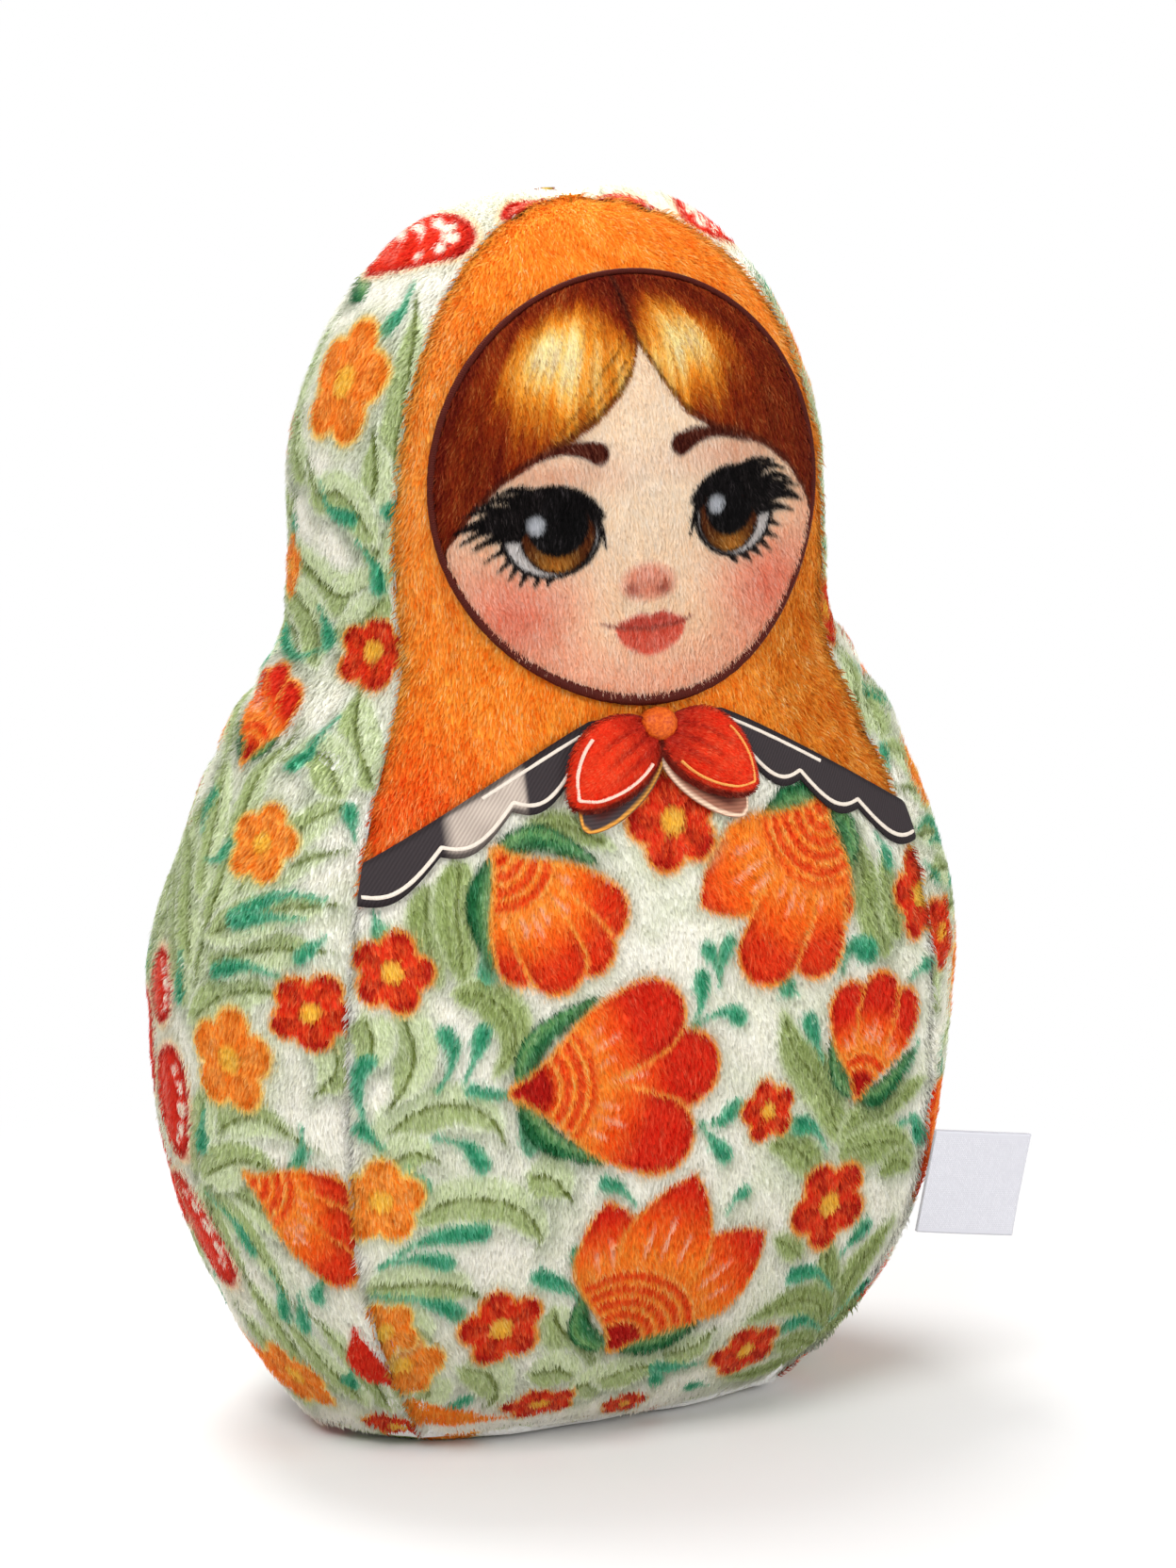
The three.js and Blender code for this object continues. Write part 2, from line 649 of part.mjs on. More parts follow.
const doll = new THREE.Group();
doll.name = "plush_matryoshka_doll";
const cover = new THREE.Group();
cover.add(
  named("front_panel", frontPanel(), plush("#e9e8d6")),
  named("back_panel", backPanel(), plush("#e9e8d6")),
  named("side_gusset", sideGusset(), plush("#dfe3c4")),
  named("base_panel", basePanel(), plush("#dfe3c4")),
  named("front_seam_thread", seamThread(1), thread("#f2efe4")),
  named("back_seam_thread", seamThread(-1), thread("#f2efe4")),
  named("base_seam_thread", baseThread(), thread("#f2efe4")),
);
const stuffing = new THREE.Group();
stuffing.add(
  named("head_stuffing", filling(true), plush("#fbfbf8")),
  named("body_stuffing", filling(false), plush("#fbfbf8")),
);
const front = new THREE.Group();
front.add(
  named("face_patch", facePatch(), plush("#efc6a4")),
  named("face_border", faceBorder(), thread("#4a1f16")),
  named("right_hem_band", hemBand(-1), thread("#3a3436")),
  named("left_hem_band", hemBand(1), thread("#3a3436")),
  named("right_bow_loop", bowLoop(-1), plush("#d8311b")),
  named("left_bow_loop", bowLoop(1), plush("#d8311b")),
  named("bow_knot", bowKnot(), plush("#d2581f")),
);
const hinge = labelHinge();
const flap = new THREE.Group();
flap.position.copy(hinge.at);
flap.quaternion.setFromRotationMatrix(
  new THREE.Matrix4().makeBasis(hinge.out, hinge.along.clone().cross(hinge.out), hinge.along),
);
flap.add(named("care_label", careLabel(hinge.half), thread("#f4f3f1")));
doll.add(cover, stuffing, front, flap);

export default doll;
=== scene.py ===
import json
import math
import bmesh
import bpy
import numpy as np
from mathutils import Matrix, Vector, kdtree


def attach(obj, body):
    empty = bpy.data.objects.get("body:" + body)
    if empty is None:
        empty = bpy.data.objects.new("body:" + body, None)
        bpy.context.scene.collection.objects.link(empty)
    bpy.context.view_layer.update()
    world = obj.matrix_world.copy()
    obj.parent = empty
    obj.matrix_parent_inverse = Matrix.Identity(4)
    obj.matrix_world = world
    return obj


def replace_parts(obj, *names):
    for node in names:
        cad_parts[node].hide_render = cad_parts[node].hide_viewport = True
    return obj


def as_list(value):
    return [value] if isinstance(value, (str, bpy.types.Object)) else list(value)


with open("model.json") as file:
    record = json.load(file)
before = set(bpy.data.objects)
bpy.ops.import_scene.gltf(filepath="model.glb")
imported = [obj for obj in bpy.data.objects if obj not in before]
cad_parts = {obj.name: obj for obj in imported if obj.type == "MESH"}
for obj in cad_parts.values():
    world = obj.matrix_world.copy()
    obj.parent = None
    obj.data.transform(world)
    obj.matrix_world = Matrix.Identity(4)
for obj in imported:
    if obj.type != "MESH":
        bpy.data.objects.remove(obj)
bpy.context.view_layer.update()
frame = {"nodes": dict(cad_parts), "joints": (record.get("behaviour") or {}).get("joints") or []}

MM = 0.001

# The doll's sizes in mm, as in the part's source
HEAD_HALF_WIDTH, HEAD_CENTRE_Z, HEAD_RISE, HEAD_DROP, HEAD_FULLNESS = 54.5, 209.0, 76.0, 96.0, 2.2
BELLY_HALF_WIDTH, BELLY_CENTRE_Z, BELLY_RISE, BELLY_DROP, BELLY_FULLNESS = 75.0, 102.0, 90.0, 117.0, 2.65
NECK_BLEND, PANEL_CURVE = 4.1, 0.85
SEAM_DEPTH_BELLY, SEAM_DEPTH_HEAD, SEAM_DEPTH_CROWN, SEAM_DROP, SEAM_FULLNESS = 47.0, 28.5, 5.5, 100.5, 3.4
BASE_SEAM_Z, BASE_ROLL, BASE_ROLL_START = 7.0, 11.0, math.pi / 6
CROWN_Z = HEAD_CENTRE_Z + HEAD_RISE
SHOULDER_Z = (HEAD_CENTRE_Z + BELLY_CENTRE_Z) / 2
FACE_HALF_WIDTH, FACE_CENTRE_Z, FACE_RISE, FACE_DROP = 46.7, 223.5, 46.5, 45.2
BORDER_TOP, BORDER_SIDE, BORDER_CHIN = 1.2, 1.8, 3.0
SEAT, PLY = 0.45, 1.2
KNOT_RADIUS, KNOT_HEIGHT, KNOT_Z = 4.0, 3.4, 170.7
LOOP_LENGTH, LOOP_WIDTH, LOOP_ROOT, LOOP_SLOPE = 24.0, 16.5, 1.8, math.radians(36)
LOOP_NARROWED, LOOP_END = 0.94, 0.995  # width over the CAD loop's, and the last share along it
HEM_START, HEM_DEPTH, HEM_FALL, HEM_FALL_POWER, HEM_MARGIN = 8.0, 5.5, 31.0, 1.4, 1.5
HEM_SCALLOPS, HEM_SCALLOP_DEPTH = 4, 4.0
HEM_STRIP, HEM_CUT, HEM_SLOPE = 3.6, 16.0, 1.15  # hem over its CAD top, cut depth, and its run over its span
LABEL_WIDTH, LABEL_LENGTH, LABEL_PLY, LABEL_GAP = 25.0, 26.0, 0.35, 0.4
SETTLE, SETTLE_HEIGHT, CORNER_HEIGHT, SEAM_SINK = 7.0, 34.0, 62.0, 5.6
BACKING = 1.6  # the knitted ground lies this far under the pile's tips
GROUND_PLY = 0.55  # its thickness
SOLE_Z = 0.25  # height of the pressed sole's underside
FAR = 99.0  # a distance beyond any edge
LAYER = SEAT + PLY + 0.3
EVERY = slice(None)
LUMP_CELLS = 128  # cells each way before a field of lumps repeats


# Colour, noise and small sums
def linear(code):
    srgb = np.array([int(code[k:k + 2], 16) for k in (1, 3, 5)]) / 255
    return np.where(srgb <= 0.04045, srgb / 12.92, ((srgb + 0.055) / 1.055) ** 2.4)


def fade(inside, edge):
    """1 well inside a shape, 0 outside, over an edge in the same unit."""
    return np.clip(inside / edge + 0.5, 0, 1)


def bell_curve(x, centre, spread):
    return np.exp(-(((x - centre) / spread) ** 2))


def lumps(points, size, seed):
    """Smooth random field from -1 to 1 over places in mm, with lumps of the given size."""
    place = np.asarray(points) / size
    low = np.floor(place)
    step = place - low
    step = step * step * (3 - 2 * step)
    table = np.random.default_rng(seed).uniform(-1, 1, (LUMP_CELLS, LUMP_CELLS))
    i, j = low[..., 0].astype(int) % LUMP_CELLS, low[..., 1].astype(int) % LUMP_CELLS
    right, up = (i + 1) % LUMP_CELLS, (j + 1) % LUMP_CELLS
    a, b = step[..., 0], step[..., 1]
    lower = table[i, j] * (1 - a) + table[right, j] * a
    upper = table[i, up] * (1 - a) + table[right, up] * a
    return lower * (1 - b) + upper * b


def unit(vectors):
    return vectors / np.maximum(np.linalg.norm(vectors, axis=-1, keepdims=True), 1e-9)


# The doll's shape
def smoothstep(z, low, high):
    share = np.clip((z - low) / (high - low), 0, 1)
    return share * share * (3 - 2 * share)


def stepped(z, heights, values):
    result = values[0] + 0 * z
    for step in range(1, len(heights)):
        share = smoothstep(z, heights[step - 1], heights[step])
        result = result + (values[step] - values[step - 1]) * share
    return result


def oval(half, share, fullness=2.0):
    """Half an oval's width at a share of its height. A fullness above 2 squares its shoulders."""
    return half * np.maximum(0, 1 - np.abs(share) ** fullness) ** (1 / fullness)


def half_width(z):
    above, over = z - HEAD_CENTRE_Z, z - BELLY_CENTRE_Z
    skull = oval(HEAD_HALF_WIDTH, above / HEAD_RISE, HEAD_FULLNESS)
    jaw = oval(HEAD_HALF_WIDTH, above / HEAD_DROP)
    chest = oval(BELLY_HALF_WIDTH, over / BELLY_RISE)
    hips = oval(BELLY_HALF_WIDTH, over / BELLY_DROP, BELLY_FULLNESS)
    head, belly = np.where(above > 0, skull, jaw), np.where(over > 0, chest, hips)
    return (head ** NECK_BLEND + belly ** NECK_BLEND) ** (1 / NECK_BLEND)


def towards_crown(head, crown, z):
    return crown + (head - crown) * oval(1, np.maximum(z - HEAD_CENTRE_Z, 0) / HEAD_RISE, HEAD_FULLNESS)


def seam_depth(z):
    head = towards_crown(SEAM_DEPTH_HEAD, SEAM_DEPTH_CROWN, z)
    low = oval(SEAM_DEPTH_BELLY, (BELLY_CENTRE_Z - z) / SEAM_DROP, SEAM_FULLNESS)
    return np.where(z < BELLY_CENTRE_Z, low,
                    stepped(z, (BELLY_CENTRE_Z, HEAD_CENTRE_Z), (SEAM_DEPTH_BELLY, head)))


def gusset_swell(z):
    heights = (BASE_SEAM_Z, BELLY_CENTRE_Z, SHOULDER_Z, HEAD_CENTRE_Z)
    return stepped(z, heights, (14.6, 25.0, 19.5, towards_crown(10.0, 1.2, z)))


def panel_swell(z):
    return stepped(z, (BASE_SEAM_Z, BELLY_CENTRE_Z, HEAD_CENTRE_Z), (0.16, 0.21, 0.32))


def front_y(x, z):
    half = half_width(z)
    return -(seam_depth(z) + panel_swell(z) * half * np.maximum(0, 1 - (x / half) ** 2) ** PANEL_CURVE)


def outline(s):
    z = BASE_SEAM_Z + (CROWN_Z - BASE_SEAM_Z) * np.cos(s * math.pi / 2)
    return np.sign(s) * half_width(z), z


CROWN_START = 0.012  # where the front panel's first row lies, so that it keeps some width


def front_points(s, t):
    z = outline(s)[1]
    half = half_width(z)
    swell = panel_swell(z) * np.maximum(half, 1e-6) * np.maximum(0, 1 - t ** 2) ** PANEL_CURVE
    return np.stack([t * half, -(seam_depth(z) + swell), z + 0 * t], -1)


def gusset_points(s, t):
    x, z = outline(s)
    (x0, z0), (x1, z1) = outline(np.maximum(-1, s - 1e-3)), outline(np.minimum(1, s + 1e-3))
    across = unit(np.stack([z0 - z1, x1 - x0], -1))
    across[..., 1] *= smoothstep(z, BASE_SEAM_Z, BELLY_CENTRE_Z)
    across = unit(across)
    swell = gusset_swell(z) * (1 - t ** 2)
    return np.stack([x + swell * across[..., 0], seam_depth(z) * t, z + swell * across[..., 1]], -1)


def settle(places):
    """The stuffed cover rounds off towards its base: the corners first, then all round near the floor."""
    z = np.maximum(places[..., 2], BASE_SEAM_Z)
    wide, deep = half_width(z) + gusset_swell(z), seam_depth(z) + panel_swell(z) * half_width(z)
    beyond = np.maximum(np.hypot(places[..., 0] / wide, places[..., 1] / deep), 1)
    low = np.clip(1 - z / CORNER_HEIGHT, 0, 1) ** 1.3
    rounded = places * (1, 1, 0) * (1 - 0.85 * low * (1 - 1 / beyond))[..., None] + places * (0, 0, 1)
    near = np.clip(1 - z / SETTLE_HEIGHT, 0, 1)[..., None] ** 2
    return rounded + unit(places * (-1, -1, 0)) * (SETTLE * near) - (0, 0, 1) * (SEAM_SINK * near)


def lift_front(x, z, lift):
    """Places above the front panel, lift mm out from its face."""
    step = 0.5
    slope_x = (front_y(x + step, z) - front_y(x - step, z)) / (2 * step)
    slope_z = (front_y(x, z + step) - front_y(x, z - step)) / (2 * step)
    out = unit(np.stack([slope_x, -1 + 0 * slope_x, slope_z], -1))
    return np.stack([x, front_y(x, z), z + 0 * x], -1) + out * np.asarray(lift)[..., None]


def arc_from_middle(places):
    """Length across each row of a grid, from its middle column."""
    steps = np.linalg.norm(np.diff(places, axis=1), axis=2)
    arc = np.concatenate([np.zeros((len(places), 1)), np.cumsum(steps, 1)], 1)
    return arc - arc[:, [places.shape[1] // 2]]


def grid_normals(places):
    down, right = np.gradient(places, axis=0), np.gradient(places, axis=1)
    return unit(np.cross(down, right))


def facing_front(normals):
    """Normals turned so that the middle one points to the front."""
    rows, columns = normals.shape[:2]
    return normals * np.sign(-normals[rows // 2, columns // 2, 1])


def run_along(line):
    """Length along a line at each of its places."""
    return np.concatenate([[0], np.cumsum(np.linalg.norm(np.diff(line, axis=0), axis=1))])


def cell_areas(grid):
    a, b, c, d = grid[:-1, :-1], grid[1:, :-1], grid[:-1, 1:], grid[1:, 1:]
    return (np.linalg.norm(np.cross(b - a, c - a), axis=2)
            + np.linalg.norm(np.cross(b - d, c - d), axis=2)) / 2


class Cloth:
    """One cut panel: a grid of places, outward normals, print coordinates in mm and the way its pile lies.
    hand says on which side of the nap the print's first coordinate grows. edge is the distance to the seam,
    flare the way out to it, outward the pile's lean that way, and trim how much shorter it is there."""

    def __init__(self, places, normals, flat, along, hand, backing=BACKING):
        self.places, self.normals, self.flat, self.along, self.hand = places, normals, flat, along, hand
        self.surface = places - normals * np.asarray(backing)[..., None]
        self.edge, self.flare, self.outward, self.trim = FAR + 0 * places[..., 0], 0 * places, 0.68, 0.0

    def sink(self, depth):
        self.surface = self.surface - self.normals * depth[..., None]


def edge_distance(arc):
    """Distance of each grid place to the nearer sewn edge, along the row."""
    return np.minimum(arc - arc[:, :1], arc[:, -1:] - arc)


def seam_relief(cloth, arc, run, seed):
    """The seam's crease and the puckers that run out from it."""
    away = edge_distance(arc)
    cloth.edge = away
    cloth.flare = unit(np.gradient(cloth.places, axis=1)) * (np.sign(arc) * np.exp(-away / 2.2))[..., None]
    crease = 0.9 * np.exp(-(((away - 3) / 2.5) ** 2)) - 0.7 * np.exp(-((away / 2.0) ** 2))
    side = np.where(arc < 0, 0, 500)
    pucker = lumps(np.stack([run + side, away * 0.35], -1), 5.0, seed) * 0.75 * np.exp(-away / 9)
    lump = lumps(cloth.flat, 24.0, seed + 1) * 0.8 + lumps(cloth.flat, 11.0, seed + 2) * 0.35
    cloth.sink(crease + pucker + lump * np.clip(away / 14, 0, 1))


def make_front(rows=190, columns=111):
    s = np.linspace(0, 1, rows)[:, None]
    t = np.linspace(-1, 1, columns)[None, :]
    places = settle(front_points(np.maximum(s, CROWN_START), t))
    arc = arc_from_middle(places)
    flat = np.stack([arc, places[..., 2]], -1)
    cloth = Cloth(places, facing_front(grid_normals(places)), flat, np.gradient(places, axis=0), 1)
    seam_relief(cloth, arc, run_along(places[:, 0])[:, None] + 0 * t, 11)
    return cloth


def make_gusset(rows=420, columns=65):
    s, t = np.meshgrid(np.linspace(-1, 1, rows), np.linspace(-1, 1, columns), indexing="ij")
    places = settle(gusset_points(s, t))
    normals = grid_normals(places)
    middle = columns // 2
    if normals[rows // 4, middle, 0] > 0:
        normals = -normals
    along = run_along(places[:, middle])
    arc = arc_from_middle(places)
    along = (along - np.interp(0, s[:, 0], along))[:, None] + 0 * arc
    cloth = Cloth(places, normals, np.stack([arc, along], -1), -np.gradient(places, axis=0), -1)
    seam_relief(cloth, arc, along, 23)
    cloth.outward, cloth.trim = -0.1, 0.38
    for neck_fold, slant, deep in ((-152, 0.25, 1.6), (-163, -0.2, 1.2), (-141, 0.1, 0.9)):
        crease = bell_curve(-np.abs(along) - slant * arc, neck_fold, 3.6)
        cloth.sink(deep * crease * np.clip(cloth.edge / 10, 0, 1))
    return cloth


front, gusset = make_front(), make_gusset()


def mirrored(cloth):
    flip = np.array([1, -1, 1])
    twin = Cloth(cloth.places * flip, cloth.normals * flip, cloth.flat, cloth.along * flip, -cloth.hand)
    twin.surface, twin.edge, twin.flare = cloth.surface * flip, cloth.edge, cloth.flare * flip
    return twin


back = mirrored(front)


def make_base(columns=240):
    """The base from its seam round the roll, and the flat loop that stands on the floor."""
    t = np.linspace(-1, 1, columns // 4 + 1)[:-1]
    one = np.ones_like(t)
    front_edge, left_edge = front_points(one, t), gusset_points(one, t)
    loop = np.concatenate([front_edge, left_edge, front_edge * (-1, -1, 1), left_edge * (-1, -1, 1)])
    loop = settle(np.concatenate([loop, loop[:1]]))
    inward = unit(loop * (-1, -1, 0))
    angle = np.linspace(BASE_ROLL_START, math.pi / 2, 16)[:, None]
    inset = BASE_ROLL * (np.cos(angle) - math.cos(BASE_ROLL_START)) / -math.cos(BASE_ROLL_START)
    height = loop[0, 2] * (1 - (np.sin(angle) - 0.5) / 0.5)
    up = np.array([0, 0, 1.0])
    places = loop[None] * (1, 1, 0) + inward[None] * inset[..., None] + up * height[..., None]
    sideways = -inward[None] * (np.cos(angle) * loop[0, 2])[..., None]
    normals = unit(sideways - up * (np.sin(angle) * BASE_ROLL)[..., None])
    pressed = np.linspace(0, 1, len(angle))[:, None] + 0 * places[..., 0]
    backing = BACKING - 0.7 * np.exp(-((pressed * 14 / 3) ** 2))
    backing = backing - (BACKING - 0.25) * smoothstep(pressed, 0.5, 1)
    return Cloth(places, normals, places[..., :2], np.gradient(places, axis=0), 1, backing)


base = make_base()
# RIM_ROWS also sets how many rows of the base cloth are darkened as painted contact shade.
RIM_ROWS = 4  # rows of the base over which its seam fades out
base.sink(1.5 * bell_curve(np.arange(len(base.edge))[:, None], 0, RIM_ROWS) + 0 * base.edge)


def arc_on_front(x, z):
    """Length across the front panel from its middle line to x."""
    share = np.linspace(0, 1, 17)
    y = front_y(x[..., None] * share, z[..., None] + 0 * share)
    steps = np.hypot(np.diff(x[..., None] * share, axis=-1), np.diff(y, axis=-1))
    return np.sign(x) * steps.sum(-1)


def face_oval(angle, grow=0.0):
    side, up = np.cos(angle), np.sin(angle)
    rise = np.where(up > 0, FACE_RISE, FACE_DROP)
    return (FACE_HALF_WIDTH + grow) * side, FACE_CENTRE_Z + (rise + grow) * up


def applique(x, z, lift, backing):
    places = lift_front(x, z, lift)
    normals = unit(places - lift_front(x, z, 0 * x))
    return Cloth(places, normals, np.stack([arc_on_front(x, z), z], -1), 0 * places + (0, 0, -1), 1, backing)


def make_face(rings=44, spokes=220):
    share = np.linspace(0.01, 1, rings)[:, None]
    x, z = face_oval(np.linspace(0, 2 * math.pi, spokes + 1)[None, :])
    x, z = x * share, FACE_CENTRE_Z + (z - FACE_CENTRE_Z) * share
    roll = 0.35 * smoothstep(share, 0.93, 1.0) + 0 * x
    return applique(x, z, SEAT + PLY + 0 * x, 0.75 + roll)


face = make_face()


# The print, laid on in order like ink on the plain cloth
INK = {
    "white": "#f7f5ec", "smudge": "#d6dcc2", "shadow": "#8f9c78", "olive": "#b4c384", "pale": "#e3e8cc",
    "vein": "#747a3a", "teal": "#4cb087", "pine": "#2d7a4a", "red": "#e4381c", "deep": "#b5170f",
    "orange": "#f7982c",
    "ember": "#f2691f", "gold": "#f2b04e", "yellow": "#f6cc52", "cream": "#f8e8c8",
}
FLOWER_INKS = {"red": ("gold", "red", "#f0672f", "deep"),
               "orange": ("#f8d676", "orange", "#fabd5e", "#e0801f")}


def curve(points, count=26):
    """A smooth line through a few places."""
    points = np.asarray(points, float)
    if len(points) == 2:
        return points[0] + (points[1] - points[0]) * np.linspace(0, 1, count)[:, None]
    ends = np.concatenate([[2 * points[0] - points[1]], points, [2 * points[-1] - points[-2]]])
    where = np.linspace(0, len(points) - 1 - 1e-6, count)
    first = where.astype(int)
    t = (where - first)[:, None]
    a, b, c, d = (ends[first + n] for n in range(4))
    square = (2 * a - 5 * b + 4 * c - d) * t ** 2
    cube = (3 * b - a - 3 * c + d) * t ** 3
    return 0.5 * (2 * b + (c - a) * t + square + cube)


TAPERS = {
    "leaf": lambda x: np.sin(math.pi * np.clip(x, 0, 1) ** 0.8) ** 0.65,
    "frond": lambda x: (0.3 + 0.7 * np.sin(math.pi * np.clip(x, 0, 1) ** 0.6))
                       * (1 - 0.85 * smoothstep(x, 0.7, 1.0)),
    "drop": lambda x: 0.22 + 0.78 * smoothstep(x, 0.2, 0.85),
    "line": lambda x: 0.35 + 0.65 * np.sin(math.pi * x) ** 0.5,
    "lash": lambda x: 1 - 0.92 * x,
    "even": lambda x: 1 + 0 * x,
    "petal": lambda x: 0.14 + 0.86 * smoothstep(x, 0.0, 0.8),
    "pointed": lambda x: (0.14 + 0.86 * smoothstep(x, 0.0, 0.65))
                         * np.maximum(0, 1 - np.maximum(0, 2 * x - 1) ** 2) ** 0.8,
}


class Print:
    def __init__(self, places, ground="white"):
        self.places = np.asarray(places, float)
        self.rgb = np.tile(linear(INK.get(ground, ground)), (len(self.places), 1))

    def within(self, low, high):
        """Numbers of the places inside a rectangle."""
        return np.flatnonzero(((self.places > low) & (self.places < high)).all(1))

    def lay(self, at, cover, ink):
        colour = linear(INK.get(ink, ink)) if isinstance(ink, str) else ink
        self.rgb[at] += np.clip(cover, 0, 1)[:, None] * (colour - self.rgb[at])

    def from_stroke(self, path, width, taper, spare):
        """Points near a stroke: their numbers, mm inside its edge, share along it and mm to its side."""
        line = curve(path)
        at = self.within(line.min(0) - width / 2 - spare, line.max(0) + width / 2 + spare)
        spots = self.places[at][:, None]
        start, step = line[None, :-1], np.diff(line, axis=0)[None]
        part = np.clip(((spots - start) * step).sum(2) / np.maximum((step ** 2).sum(2), 1e-9), 0, 1)
        gap = spots - start - step * part[..., None]
        far = np.hypot(gap[..., 0], gap[..., 1])
        near = far.argmin(1)
        n = np.arange(len(at))
        share = (near + part[n, near]) / (len(line) - 1)
        side = step[0, near, 0] * gap[n, near, 1] - step[0, near, 1] * gap[n, near, 0]
        return at, width / 2 * TAPERS[taper](share) - far[n, near], share, np.sign(side) * far[n, near]

    def stroke(self, path, width, ink, taper="leaf", edge=0.5, cover=1.0):
        at, inside, _, _ = self.from_stroke(path, width, taper, edge * 2)
        self.lay(at, cover * fade(inside, edge), ink)

    def shade_under(self, path, width, taper="leaf", cover=0.5, soft=4.5):
        """The printed shadow that makes a motif look raised."""
        moved = [(u + 0.8, v - 1.6) for u, v in path]
        at, inside, _, _ = self.from_stroke(moved, width + 1.5, taper, soft)
        self.lay(at, cover * fade(inside, soft), "shadow")

    def frond(self, path, width):
        """A pale curled leaf with a light rim, a soft shadow and one drawn vein."""
        self.shade_under(path, width, "frond", 0.48, 5.0)
        at, inside, share, side = self.from_stroke(path, width, "frond", 1.5)
        self.lay(at, fade(inside, 0.9), "#eff2e2")
        self.lay(at, 0.95 * fade(inside - 0.9, 1.0), "#cdd9a4")
        self.lay(at, 0.7 * fade(side - 0.5, 1.2) * fade(inside - 0.8, 1.0), "#e5ecd0")
        self.lay(at, 0.4 * fade(-side - 0.4, 1.0) * fade(inside - 0.9, 1.0), "#aebd84")
        ends = fade(share - 0.04, 0.06) * fade(0.97 - share, 0.06)
        self.lay(at, 0.9 * fade(0.5 - np.abs(side), 0.4) * ends, "#76843a")

    def leaf(self, path, width=7.0, body="olive"):
        """A solid leaf, lighter along its rim, with a dark vein and two side veins."""
        width = width * 1.45
        self.shade_under(path, width, "leaf", 0.5, 5.0)
        at, inside, share, side = self.from_stroke(path, width, "leaf", 1.5)
        self.lay(at, fade(inside, 1.0), "#dbe3bf")
        self.lay(at, 0.9 * fade(inside - 0.8, 1.2), body)
        self.lay(at, 0.45 * fade(-side - 0.6, 1.5) * fade(inside - 0.6, 1.0), "#9fb06c")
        ends = fade(share - 0.05, 0.08) * fade(0.93 - share, 0.1)
        self.lay(at, 0.85 * fade(0.4 - np.abs(side), 0.4) * ends, "#76833c")
        self.lay(at, 0.5 * fade(0.3 - np.abs(np.abs(side) - 2.2), 0.4) * ends * fade(inside - 0.8, 0.5),
                 "#8c9a50")

    def drop(self, path, width=4.2, ink="teal"):
        """A comma stroke with a round head."""
        self.shade_under(path, width * 0.7, "drop", 0.35, 3.0)
        at, inside, _, side = self.from_stroke(path, width, "drop", 1.5)
        self.lay(at, fade(inside, 0.7), ink)
        self.lay(at, 0.55 * fade(0.9 - inside, 0.8) * fade(inside, 0.6), "#93d2b3")
        self.lay(at, 0.5 * fade(-side, 1.0) * fade(inside - 0.5, 0.8), "#339270")

    def sepal(self, path, width=6.0):
        """A dark green leaf that hugs a flower, with a pale band between its two dark edges."""
        self.shade_under(path, width, "leaf", 0.6)
        at, inside, _, side = self.from_stroke(path, width, "leaf", 1.5)
        self.lay(at, fade(inside, 0.6), "#1f5f38")
        self.lay(at, fade(inside - 0.6, 0.7), "pine")
        self.lay(at, 0.85 * fade(inside - 0.7, 0.8) * fade(side + 0.3, 1.2), "#6fae72")
        self.lay(at, 0.6 * fade(inside - 1.2, 0.8) * fade(side - 0.8, 0.8), "#a8c686")

    def flower(self, u, v, radius, turn=0.0, kind="red", squash=1.0):
        spare = radius * 1.7
        at = self.within((u - spare, v - spare), (u + spare, v + spare))
        x, y = ((self.places[at] - (u, v)) / (radius, radius * squash)).T
        rho, angle = np.hypot(x, y), np.arctan2(y, x) - math.radians(turn + 90)
        fifth = 2 * math.pi / 5
        off = (angle + fifth / 2) % fifth - fifth / 2
        along, across = rho * np.cos(off), rho * np.sin(off)
        petal = 1 - np.hypot((along - 0.6) / 0.43, across / 0.41)
        self.lay(at, 0.5 * fade(petal + 0.55, 0.9), "#b9c39a")
        rim, body, light, dark = FLOWER_INKS[kind]
        self.lay(at, fade(petal + 0.24, 0.22), rim)
        self.lay(at, fade(petal, 0.12), body)
        self.lay(at, 0.75 * fade(petal - 0.35, 0.5) * fade(0.82 - along, 0.2), light)
        vein = fade(0.045 - np.abs(np.abs(across) - 0.16 * (along - 0.15)), 0.05) * fade(0.85 - along, 0.15)
        self.lay(at, 0.8 * vein * fade(petal - 0.1, 0.1), dark)
        self.lay(at, 0.8 * fade(along - 0.84, 0.2) * fade(petal, 0.1), dark)
        self.lay(at, fade(0.3 - rho, 0.08), dark)
        dots = fade(0.05 - np.hypot(rho - 0.25, rho * ((angle * 9 / math.pi) % 2 - 1) * 0.2), 0.06)
        self.lay(at, fade(0.22 - rho, 0.08), "yellow")
        self.lay(at, dots, "yellow")

